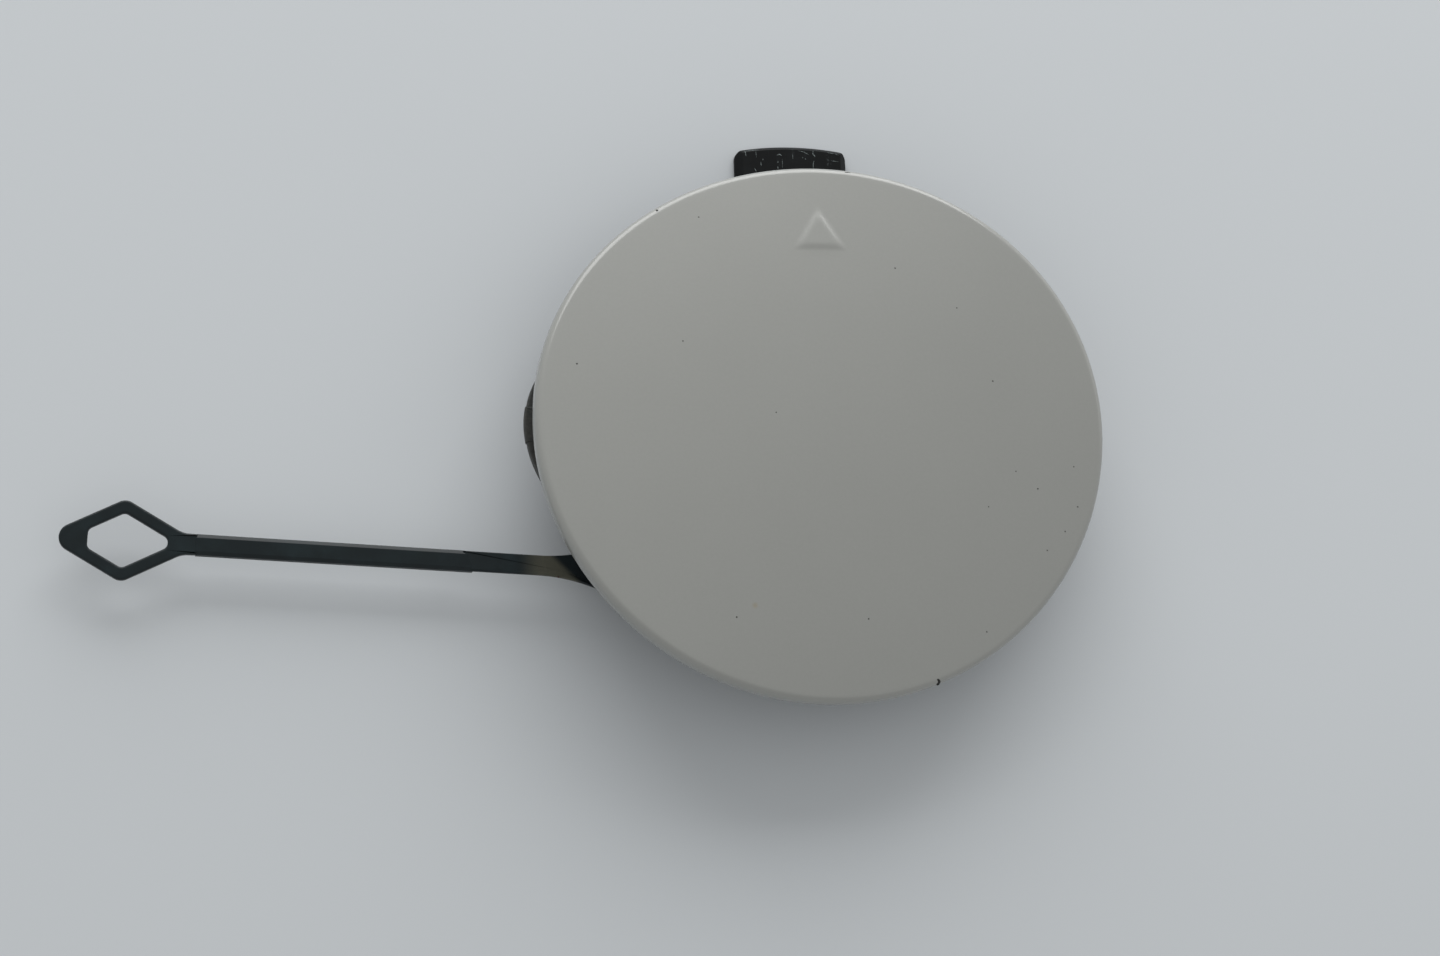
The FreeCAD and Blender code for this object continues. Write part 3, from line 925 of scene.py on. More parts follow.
@dataclass
class Face(Feature):
    """The crowned oval plate with its rounded rim and the press triangle, in millimetres."""

    moulding: Moulding
    half_length: float = 36.2
    half_width: float = 33.8
    rim_rounding: float = 1.0
    back_rounding: float = 0.25
    spokes: tuple[Span, ...] = ((80.0, 100.0, 92), (100.0, 440.0, 280))
    front_rings: tuple[Span, ...] = ((0.04, 0.68, 18), (0.68, 0.89, 68), (0.89, 1.0, 9))
    arc_rings: int = 15
    wall_rings: tuple[float, ...] = (0.34, 0.67, 1.0)
    back_rings: int = 18
    back_middle: float = 0.05
    slope_step: float = 0.01
    nearest_step: float = 0.25
    mark: PressMark = field(default_factory=PressMark)

    def outline(self, angle: Array) -> tuple[Array, Array]:
        """The rim, an ellipse: X = half length * cos, Y = half width * sin.

        Args:
            angle: Angles of the ellipse.

        Returns:
            Plan points of the rim and unit directions out of it.
        """
        cosine, sine = np.cos(angle), np.sin(angle)
        rim = np.stack([self.half_length * cosine, self.half_width * sine], axis=-1)
        away = unit(np.stack([cosine / self.half_length, sine / self.half_width], axis=-1))
        return rim, away

    def rim_arc(self, angle: Array) -> tuple[Array, Array, Array]:
        """The rim's rounding at angles of the ellipse.

        The rounding is an arc that leaves the face at the face's own slope s, a distance
        rounding * (1 - sin s) inside the rim, and ends upright on the rim.

        Args:
            angle: Angles of the ellipse.

        Returns:
            The slope where the arc leaves the face, the plan points where it does, and the
            height of the arc's centre.
        """
        rim, away = self.outline(angle)
        step = self.slope_step
        crown = self.moulding.crown
        outer, inner = crown.height(rim + away * step), crown.height(rim - away * step)
        slope = np.arctan((inner - outer) / (2 * step))
        start = rim - away * (self.rim_rounding * (1 - np.sin(slope)))[..., None]
        return slope, start, crown.height(start) - self.rim_rounding * np.cos(slope)

    def height(self, plan: Array) -> Array:
        """Height of the painted face, without the press mark and with the rim's rounding.

        Within the rounding it is that of the arc at the nearest angle of the ellipse.

        Args:
            plan: Plan points.

        Returns:
            The heights.
        """
        angle = np.radians(np.arange(0.0, 360.0, self.nearest_step))
        rim, _ = self.outline(angle)
        gap = np.hypot(*np.moveaxis(rim - plan[..., None, :], -1, 0))
        slope, _, centre = self.rim_arc(angle[np.argmin(gap, axis=-1)])
        depth = np.min(gap, axis=-1)
        fall = np.sqrt(np.maximum(self.rim_rounding ** 2 - (self.rim_rounding - depth) ** 2, 0.0))
        on_face = depth > self.rim_rounding * (1 - np.sin(slope))
        return np.where(on_face, self.moulding.crown.height(plan), centre + fall)

    def front(self, angle: Array) -> Array:
        """Rings from the middle of the face to the foot of the rim's wall.

        Inside the rounding they are the arc's start, drawn in towards the middle, and the
        rings lie close together where they cross the press triangle.

        Args:
            angle: The spokes' angles.

        Returns:
            Points as (rings, spokes, 3).
        """
        rim, away = self.outline(angle)
        slope, start, centre = self.rim_arc(angle)
        plan = start * runs(*self.front_rings)[:, None, None]
        lift = self.moulding.crown.height(plan) + self.mark.rise(plan, self.half_width)
        face = raised(plan, lift)
        turn = slope + np.linspace(0.0, 1.0, self.arc_rings)[:, None] * (QUARTER - slope)
        plan = rim - away * (self.rim_rounding * (1 - np.sin(turn)))[..., None]
        arc = raised(plan, centre + self.rim_rounding * np.cos(turn))
        foot = self.moulding.underside(rim) + self.back_rounding
        down = np.array(self.wall_rings)[:, None]
        upright = np.broadcast_to(rim, (len(down), *rim.shape))
        wall = raised(upright, centre + down * (foot - centre))
        return np.concatenate([face, arc, wall])

    def back(self, angle: Array) -> Array:
        """Rings from the foot of the rim's wall to the middle of the underside.

        Args:
            angle: The spokes' angles.

        Returns:
            Points as (rings, spokes, 3).
        """
        rim, away = self.outline(angle)
        lift, inset = (part[1:, None] for part in quarter_round(self.back_rounding))
        edge = rim - away * self.back_rounding
        corner = raised(rim - away * inset[..., None], self.moulding.underside(edge) + lift)
        plan = edge * np.linspace(1.0, self.back_middle, self.back_rings)[1:, None, None]
        return np.concatenate([corner, raised(plan, self.moulding.underside(plan))])

    def build(self) -> None:
        """Makes the plate: painted in front and on the rim, bare plastic behind.

        The grid's spokes lie close together where they cross the press triangle.
        """
        angle = np.radians(runs(*self.spokes))
        front = self.front(angle)
        middle = np.zeros(2)
        poles = np.array([[0.0, 0.0, self.moulding.crown.height(middle)],
                          [0.0, 0.0, self.moulding.underside(middle)]])
        surface = Surface.from_rings(np.concatenate([front, self.back(angle)]), poles)
        plate = self.show(surface, "painted_face", PAINT, BACK_PLASTIC, slot=Slot.FACE_PAINT)
        number = np.ones(len(plate.data.polygons), int)
        number[:(len(front) - 1) * len(angle)] = 0
        first_fan = len(surface.quads)
        number[first_fan:first_fan + len(angle)] = 0
        plate.data.polygons.foreach_set("material_index", number)


@dataclass
class Collar(Feature):
    """The round wall behind the plate, slotted to free the springs, in millimetres."""

    moulding: Moulding
    chamfer: float = 0.5
    foot_rounding: float = 0.6
    sunk: float = 0.4
    slot_width: float = 1.4
    slot_depth: float = 9.0
    ear_width: float = 16.0
    ear_shift: float = 0.6
    latch_width: float = 12.0
    cell_degrees: float = 2.4
    flare_levels: int = 6
    edge: float = 0.15

    def slot_edges(self, radius: float) -> Array:
        """The angles of the slots' sides on a cylinder, in rising order.

        A side of an ear's slot is a plane of one Y, so it meets the cylinder at asin(Y / radius).
        The latch's slots are the same about -Y. The ears sit a little above the middle.

        Args:
            radius: The cylinder's radius.

        Returns:
            The angles, two for each slot.
        """
        slot = np.array([0.0, self.slot_width])
        upper = np.arcsin((self.ear_shift + self.ear_width / 2 + slot) / radius)
        lower = np.arcsin((self.ear_shift - self.ear_width / 2 - slot) / radius)
        latch = np.arcsin((self.latch_width / 2 + slot) / radius)
        down = 1.5 * math.pi
        return np.concatenate([upper, math.pi - upper[::-1], math.pi - lower,
                               down - latch[::-1], down + latch, FULL + lower[::-1]])

    def columns(self) -> tuple[Array, Array, Array]:
        """Angles of the grid's columns.

        Returns:
            The angles on the outside and on the inside, and whether a slot lies between each
            column and the next.
        """
        radii = (self.moulding.collar_radius, self.moulding.collar_inside)
        edges = [self.slot_edges(radius) for radius in radii]
        spans = [np.diff(np.append(edge, edge[0] + FULL)) for edge in edges]
        counts = np.maximum(np.ceil(spans[0] / math.radians(self.cell_degrees)), 1).astype(int)
        share = np.concatenate([np.arange(count) / count for count in counts])
        group = np.repeat(np.arange(len(counts)), counts)
        outside, inside = (edge[group] + share * span[group] for edge, span in zip(edges, spans))
        return outside, inside, group % 2 == 0

    def face(self, angle: Array, radius: float, side: int) -> Array:
        """Points on one face of the wall.

        Levels rise from the free end over the chamfer and the slots' depth to the plate. Near
        the plate the face flares out by rounding * (1 - sqrt(1 - t^2)), t from 0 to 1.

        Args:
            angle: The columns' angles.
            radius: The face's radius.
            side: 1 on the outside, -1 on the inside.

        Returns:
            Points as (columns, levels, 3).
        """
        under = self.moulding.underside(polar(angle, radius))[:, None]
        flare = np.linspace(0.0, 1.0, self.flare_levels)
        fixed = np.array([0.0, self.chamfer, self.slot_depth / 2, self.slot_depth])
        low = np.broadcast_to(fixed, (len(angle), len(fixed)))
        near_plate = under - self.foot_rounding * (1 - flare)
        height = np.concatenate([low, near_plate, under + self.sunk], axis=1)
        grow = self.foot_rounding * (1 - np.sqrt(1 - flare ** 2))
        cut = self.chamfer if side > 0 else 0.0
        change = np.concatenate([[-cut, 0.0, 0.0, 0.0], side * grow, [side * self.foot_rounding]])
        return raised(polar(angle[:, None], radius + change), height)

    def build(self) -> None:
        """Makes the slotted wall."""
        outside, inside, slotted = self.columns()
        outer = self.face(outside, self.moulding.collar_radius, 1)
        inner = self.face(inside, self.moulding.collar_inside, -1)
        solid = np.ones((len(outside), outer.shape[1] - 1), bool)
        slot_levels = 3
        solid[slotted, :slot_levels] = False
        self.show(walled(outer, inner, solid), "collar", PLASTIC, bevel=self.edge)


def walled(outer: Array, inner: Array, solid: Array) -> Surface:
    """A ring-shaped wall made of the solid cells of a grid.

    Each solid cell has a face on the outside and one on the inside. Where the cell beside,
    above or below it isn't solid, the edge between them is closed by a face across the wall.

    Args:
        outer: Points on the outside, as (columns, levels, 3), columns counter-clockwise.
        inner: Points on the inside.
        solid: Which cells are solid, as (columns, levels - 1).

    Returns:
        The closed surface.
    """
    columns, levels, _ = outer.shape
    wall = columns * levels

    def faces(chosen: Array, *order: tuple[int, int, int]) -> Array:
        """One face for each chosen cell.

        Args:
            chosen: Which cells, as (columns, levels - 1).
            order: Each corner's steps in column, in level and across the wall.

        Returns:
            Four point numbers for each face.
        """
        column, row = np.nonzero(chosen)
        return np.stack([(column + c) % columns * levels + row + r + s for c, r, s in order],
                        axis=1)

    padded = np.pad(solid, ((0, 0), (1, 1)))
    quads = np.concatenate([
        faces(solid, (0, 0, 0), (1, 0, 0), (1, 1, 0), (0, 1, 0)),
        faces(solid, (0, 0, wall), (0, 1, wall), (1, 1, wall), (1, 0, wall)),
        faces(solid & ~padded[:, :-2], (0, 0, 0), (0, 0, wall), (1, 0, wall), (1, 0, 0)),
        faces(solid & ~padded[:, 2:], (0, 1, 0), (1, 1, 0), (1, 1, wall), (0, 1, wall)),
        faces(solid & ~np.roll(solid, -1, axis=0),
              (1, 0, 0), (1, 0, wall), (1, 1, wall), (1, 1, 0)),
        faces(solid & ~np.roll(solid, 1, axis=0),
              (0, 0, 0), (0, 1, 0), (0, 1, wall), (0, 0, wall)),
    ])
    used, quads = np.unique(quads, return_inverse=True)
    points = np.concatenate([outer.reshape(-1, 3), inner.reshape(-1, 3)])[used]
    return Surface(points, quads.reshape(-1, 4)).facing_out()


@dataclass
class Tongue(Feature):
    """The tongue at the collar's free end and its two gussets, in millimetres."""

    moulding: Moulding
    width: float = 15.0
    shift: float = 0.25
    length: float = 10.4
    thickness: float = 1.6
    corner: float = 0.9
    root_corner: float = 1.3
    root_overlap: float = 0.2
    underside: float = 0.01
    bevel_width: float = 0.95
    bevel_drop: float = 0.9
    nose_bevel: float = 0.45
    nose_shift: float = 1.2
    edge: float = 0.1
    top_shares: tuple[float, ...] = (0.3, 0.6, 0.85)
    top_insets: tuple[float, ...] = (1.0, 0.95, 0.88, 0.7, 0.5, 0.45, 0.4, 0.25)
    gusset_spacing: float = 9.6
    gusset_thickness: float = 1.2
    gusset_reach: float = 2.4
    gusset_height: float = 3.0
    gusset_edge: float = 0.15

    @property
    def reach(self) -> float:
        """How far the nose lies from the collar's axis."""
        return self.moulding.collar_radius + self.length

    def top(self, plan: Array) -> Array:
        """Height of the top, which falls over the bevels at both sides and at the nose.

        Args:
            plan: Plan points.

        Returns:
            The heights.
        """
        x, y = plan[..., 0], plan[..., 1]
        inside = self.width / 2 - np.abs(x - self.shift)
        share = np.clip(1 - inside / self.bevel_width, 0.0, 1.0)
        out = np.hypot(x - self.nose_shift, y) - self.reach + self.nose_bevel
        nose = np.clip(out, 0.0, self.nose_bevel)
        return self.thickness - np.maximum(self.bevel_drop * share, nose)

    def build(self) -> None:
        """Makes the tongue and its gussets.

        The tongue is first an oblong in X and in distance from the collar's axis, and its
        points then move to the Y at which they have that distance. Towards the nose the
        distance is from a point a little to the right of the axis.
        """
        root = self.moulding.collar_inside + self.root_overlap
        reach = self.reach
        left, right = self.shift - self.width / 2, self.shift + self.width / 2
        corners = np.array([[left, root], [right, root], [right, reach], [left, reach]])
        radii = np.array([self.root_corner, self.root_corner, self.corner, self.corner])
        band = evenly_spaced(rounded_outline(corners, radii), count=300)
        share = smooth_step(band[:, 1], root, reach - self.corner)
        across = band[:, 0] - self.nose_shift * share
        outline = np.stack([band[:, 0], np.sqrt(band[:, 1] ** 2 - across ** 2)], axis=1)
        plate = slab(outline, level(self.underside), self.top, self.edge, self.top_shares,
                     self.top_insets)
        self.show(plate, "top_tongue", TONGUE_PLASTIC)
        for side in Side:
            self.show(self.gusset(side), f"tongue_gusset_{side.name.lower()}", PLASTIC)

    def gusset(self, side: Side) -> Surface:
        """A web between the tongue and the collar, drawn in Y and Z.

        Args:
            side: The side of the tongue's middle that it stands on.

        Returns:
            The closed surface.
        """
        middle = self.moulding.collar_middle
        front = self.moulding.collar_radius + self.gusset_reach
        foot = self.thickness / 2
        corners = np.array([[middle, foot], [front, foot], [front, self.thickness],
                            [middle, self.thickness + self.gusset_height]])
        shift = self.shift + side.value * self.gusset_spacing / 2
        return prism(corners, self.gusset_edge, count=60, width=self.gusset_thickness,
                     edge=self.gusset_edge, middle=shift)


@dataclass
class PivotEars(Feature):
    """The wedges on the left and right of the collar, each with a proud rib, in millimetres."""

    moulding: Moulding
    length: float = 6.7
    width: float = 16.0
    shift: float = 0.6
    nose_radius: float = 11.7
    depth: float = 3.6
    slope: float = 0.35
    land: float = 0.9
    ramp: float = 4.0
    rib_width: float = 4.5
    rib_proud: float = 0.12
    rib_lift: float = 0.05
    edge: float = 0.2
    top_shares: tuple[float, ...] = (0.2, 0.4, 0.6, 0.8, 0.97)

    def wedge(self, length: float, width: float, lift: float) -> Surface:
        """A wedge with its nose rounded in plan, on the right-hand side.

        The top falls by the slope and the underside rises by the ramp from the collar to the
        nose, both in straight lines along X.

        Args:
            length: How far the nose stands out of the collar.
            width: Width along Y.
            lift: How far the top is raised.

        Returns:
            The closed surface.
        """
        collar = self.moulding.collar_radius
        reach = collar + length
        nose = self.moulding.rim_height - self.depth
        across = np.linspace(-width / 2, width / 2, 40)
        y = across + self.shift
        front = reach - self.nose_radius + np.sqrt(self.nose_radius ** 2 - across ** 2)
        root = np.sqrt(self.moulding.collar_middle ** 2 - y ** 2)
        outline = np.concatenate([np.stack([front, y], 1), np.stack([root, y], 1)[::-1]])

        def left_over(plan: Array) -> Array:
            """How far in a place lies, from 1 at the collar to 0 at the nose."""
            return 1 - np.clip((plan[..., 0] - collar) / (reach - collar), 0.0, 1.0)

        return slab(evenly_spaced(outline, count=150),
                    lambda plan: nose - self.land - self.ramp * left_over(plan),
                    lambda plan: nose + lift + self.slope * left_over(plan),
                    self.edge, self.top_shares)

    def build(self) -> None:
        """Makes both ears with their ribs."""
        ear = self.wedge(self.length, self.width, 0.0)
        rib = self.wedge(self.length + self.rib_proud, self.rib_width, self.rib_lift)
        for side in Side:
            mirror = np.array([side.value, 1.0, 1.0])
            name = f"{side.name.lower()}_ear"
            for surface, piece in ((ear, name), (rib, f"{name}_rib")):
                self.show(surface.placed(lambda p, m=mirror: p * m), piece, EAR_PLASTIC)


@dataclass
class Latch(Feature):
    """The wedge at the bottom of the collar that snaps behind the panel, in millimetres."""

    moulding: Moulding
    length: float = 3.0
    width: float = 12.0
    depth: float = 3.6
    slope: float = 0.3
    land: float = 0.8
    ramp: float = 4.0
    corner: float = 0.25
    edge: float = 0.22

    def build(self) -> None:
        """Makes the wedge from its outline in Y and Z."""
        near = -self.moulding.collar_middle
        wall = -self.moulding.collar_radius
        tip = wall - self.length
        nose = self.moulding.rim_height - self.depth
        foot = nose - self.land - self.ramp
        corners = np.array([[near, nose + self.slope], [wall, nose + self.slope], [tip, nose],
                            [tip, nose - self.land], [wall, foot], [near, foot]])
        nose = prism(corners, self.corner, count=120, width=self.width, edge=self.edge)
        self.show(nose, "latch_nose", PLASTIC)


@dataclass
class Strap(Feature):
    """The moulded strap: a flared film, a thicker bar and a diamond loop, in millimetres.

    It is drawn with u along it and w across it, and then turned to the way that it leaves.
    """

    moulding: Moulding
    turn: float = 3.2
    offset: float = 17.72
    film_width: float = 2.4
    film_thickness: float = 0.8
    film_length: float = 18.0
    film_overlap: float = 0.25
    film_edge: float = 0.16
    bar_width: float = 2.5
    bar_thickness: float = 1.4
    bar_length: float = 40.55
    bar_bevel_width: float = 0.45
    bar_bevel_drop: float = 0.22
    bar_end_slant: float = 1.1
    bar_end_rounding: float = 0.04
    bar_proud: float = 0.01
    bar_roundings: tuple[float, ...] = (0.15, 0.01, 0.01, 0.01, 0.07, 0.07)
    slant_run: float = 4.0
    parting_line: float = 0.03
    root_width: float = 8.4
    flare_radius: float = 22.0
    flare_start: float = 9.5
    loop_thickness: float = 1.0
    loop_height: float = 9.9
    loop_half_angle: float = 28.5
    loop_bar_width: float = 1.45
    loop_edge: float = 0.24
    loop_flat: float = 1.2
    loop_overlap: float = 0.15
    stub_corner: float = 0.1
    side_rounding: float = 1.5
    tip_rounding: float = 1.65
    neck_rounding: float = 3.0
    neck_length: float = 1.5
    tip_flat: float = 2.2
    neck_flat: float = 1.1
    hole_rounding: float = 0.8

    @property
    def root(self) -> float:
        """Where the strap's middle leaves the collar."""
        return math.sqrt(self.moulding.collar_radius ** 2 - self.offset ** 2)

    @property
    def step(self) -> float:
        """Where the film ends and the bar begins."""
        return self.root + self.film_length

    @property
    def loop_middle(self) -> float:
        """Where the middle of the loop lies."""
        return self.step + self.bar_length

    @property
    def slope(self) -> float:
        """How steeply the loop's sides rise from its long axis."""
        return math.tan(math.radians(self.loop_half_angle))

    def world(self, points: Array) -> Array:
        """Turns points along and across the strap into the cover's frame.

        Args:
            points: Places as u, w and height.

        Returns:
            Places as X, Y and Z.
        """
        turn = math.radians(self.turn)
        u, w, z = points[..., 0], points[..., 1], points[..., 2]
        x = -u * math.cos(turn) - w * math.sin(turn)
        y = u * math.sin(turn) - w * math.cos(turn)
        return np.stack([x, y, z], axis=-1)

    def film(self) -> Surface:
        """The thin stretch, flared by an arc where it leaves the collar.

        Its plan runs along one side, over the middle of the collar's wall and back along the
        other side. It ends inside the bar, on the slant of the bar's end.

        Returns:
            The closed surface.
        """
        past = self.step + self.film_overlap
        u = np.linspace(past, 0.0, 400)
        slant = self.bar_end_slant / 2 * smooth_step(u, past - self.slant_run, past)
        back = np.clip((self.root + self.flare_start - u) / self.flare_radius, 0.0, 1.0)
        flared = self.film_width / 2 + self.flare_radius * (1 - np.sqrt(1 - back ** 2))
        half = np.minimum(flared, self.root_width / 2)
        reach = self.moulding.collar_middle
        sides = [np.stack([u - sign * slant, self.offset + sign * half], axis=1)
                 for sign in (1, -1)]
        outer, inner = (side[np.hypot(side[:, 0], side[:, 1]) > reach] for side in sides)
        first, last = (math.atan2(side[-1, 1], side[-1, 0]) for side in (outer, inner))
        arc = polar(np.linspace(first, last, 40)[1:-1], reach)
        outline = evenly_spaced(np.concatenate([outer, arc, inner[::-1]]), count=420)
        top = self.moulding.strap_top
        plate = slab(outline, level(top - self.film_thickness), level(top), self.film_edge)
        return plate.placed(self.world)

    def bar_section(self) -> Array:
        """The bar's section about its middle.

        Its upper edges are bevelled. A fine ridge runs along both sides, where the mould's
        halves met.

        Returns:
            Points across the bar and upwards.
        """
        half, thick, line = self.bar_width / 2, self.bar_thickness / 2, self.parting_line
        right = np.array([[half, -thick], [half, -2 * line], [half + line, 0.0],
                          [half, 2 * line], [half, thick - self.bar_bevel_drop],
                          [half - self.bar_bevel_width, thick]])
        radii = np.array(self.bar_roundings)
        return rounded_outline(mirrored(right, (-1, 1)), mirrored(radii), steps=4)

    def bar(self) -> Surface:
        """The thick stretch: its section carried along the strap, with a slant by the film.

        Its top stands a hair over the film's and the loop's, whose ends lie inside it. Both its
        ends are rounded: there the section shrinks by r * (1 - sin a) as u moves on by
        r * (1 - cos a).

        Returns:
            The closed surface.
        """
        section = self.bar_section()
        start = self.step
        slanted = start + self.slant_run
        end = self.loop_middle - (self.loop_height - self.bar_width) / 2 / self.slope
        u = np.concatenate([runs((start, slanted, 9)),
                            np.linspace(slanted, end - self.neck_length, 30)])
        slant = self.bar_end_slant / 2 * (1 - smooth_step(u, start, slanted))
        tip = self.bar_end_rounding
        shrink, move = (part[:-1] for part in quarter_round(tip))
        smaller = np.concatenate([shrink, np.zeros(len(u)), shrink[::-1]])[:, None]
        slant = np.pad(slant, len(move), mode="edge")[:, None]
        between = np.clip(u, u[0] + tip, u[-1] - tip)
        u = np.concatenate([u[0] + move, between, u[-1] - move[::-1]])
        half = self.bar_width / 2 + self.parting_line
        growth = half - np.abs(section[:, 0]).max()
        across = (section[:, 0] + np.sign(section[:, 0]) * growth) * (1 - smaller / half)
        thick = section[:, 1].max()
        middle = self.moulding.strap_top + self.bar_proud - thick
        lift = middle + section[:, 1] * (1 - smaller / thick)
        along = u[:, None] - slant * across / half
        rings = np.stack([along, self.offset + across, lift], axis=-1)
        poles = np.array([[end, self.offset, middle] for end in (u[0], u[-1])])
        return Surface.from_rings(rings, poles).placed(self.world)

    def loop_outlines(self, angle: Array) -> tuple[Array, Array]:
        """The loop's two outlines about its middle, a diamond and the six-sided hole in it.

        Args:
            angle: Directions from the middle.

        Returns:
            Points of the outer and of the inner outline in those directions.
        """
        half_height = self.loop_height / 2
        bar_height = self.loop_bar_width / math.cos(math.radians(self.loop_half_angle))
        hole_height = half_height - bar_height
        to_tip = (hole_height - self.tip_flat / 2) / self.slope
        to_neck = (hole_height - self.neck_flat / 2) / self.slope
        neck_half = self.bar_width / 2
        neck = (half_height - neck_half) / self.slope
        stub = neck + self.neck_length + self.loop_overlap
        upper = np.array([[0.0, half_height], [-neck, neck_half], [-stub, neck_half]])
        outer = np.concatenate([[[half_height / self.slope, 0.0]], mirrored(upper, (1, -1))])
        radii = np.append(self.tip_rounding, mirrored(np.array(
            [self.side_rounding, self.neck_rounding, self.stub_corner])))
        inner = mirrored(np.array([[to_tip, self.tip_flat / 2], [0.0, hole_height],
                                   [-to_neck, self.neck_flat / 2]]), (1, -1))
        outer = evenly_spaced(rounded_outline(outer, radii, steps=16), count=2400)
        hole_radii = np.full(len(inner), self.hole_rounding)
        inner = evenly_spaced(rounded_outline(inner, hole_radii), count=1600)
        return seen_from_middle(outer, angle), seen_from_middle(inner, angle)

    def loop(self) -> Surface:
        """The diamond loop: a ring between two outlines, with round edges on both.

        Returns:
            The closed surface.
        """
        outer, inner = self.loop_outlines(runs((0.0, FULL, 480)))
        curve, fall = quarter_round(self.loop_edge)
        inset = np.append(self.loop_flat * self.loop_edge, curve)
        half = self.loop_thickness / 2
        out = drawn_in(outer, inset)
        hole = inner + away_from(inner) * inset[:, None, None]
        lift = np.broadcast_to(half - np.append(0.0, fall)[:, None], out.shape[:-1])
        rings = np.concatenate([raised(out, lift), raised(out, -lift)[::-1],
                                raised(hole, -lift), raised(hole, lift)[::-1]])
        shift = np.array([self.loop_middle, self.offset, self.moulding.strap_top - half])
        return Surface.from_rings(rings).placed(lambda p: self.world(p + shift))

    def build(self) -> None:
        """Makes the film, the bar and the loop."""
        self.show(self.film(), "strap_film", FILM_PLASTIC)
        self.show(self.bar(), "strap_bar", PLASTIC)
        self.show(self.loop(), "anchor_loop", PLASTIC)


@dataclass
class MouldMarks(Feature):
    """What the mould leaves on the plate's back: ejector pin rings and the gate, in millimetres."""

    moulding: Moulding
    pin_radius: float = 2.5
    pin_circle: float = 19.0
    pin_proud: float = 0.08
    gate_radius: float = 1.1
    gate_proud: float = 0.5
    sunk: float = 0.5
    edge_share: float = 0.9
    widest_edge: float = 0.25

    def boss(self, x: float, y: float, radius: float, proud: float) -> Surface:
        """A round boss that stands down from the plate's underside with a soft edge.

        Args:
            x: X of its middle.
            y: Y of its middle.
            radius: Its radius.
            proud: How far it stands out.

        Returns:
            The closed surface.
        """
        circle = polar(runs((0.0, FULL, 40)), radius) + [x, y]
        under = self.moulding.underside
        return slab(circle, lambda plan: under(plan) - proud, lambda plan: under(plan) + self.sunk,
                    min(self.edge_share * proud, self.widest_edge))

    def build(self) -> None:
        """Makes four pin marks and the gate's stub."""
        at = self.pin_circle * math.sqrt(0.5)
        pins = [self.boss(x, y, self.pin_radius, self.pin_proud)
                for x in (-at, at) for y in (-at, at)]
        self.show(Surface.joined(pins), "ejector_marks", PLASTIC)
        gate = self.boss(0.0, 0.0, self.gate_radius, self.gate_proud)
        self.show(gate, "gate_mark", PLASTIC)


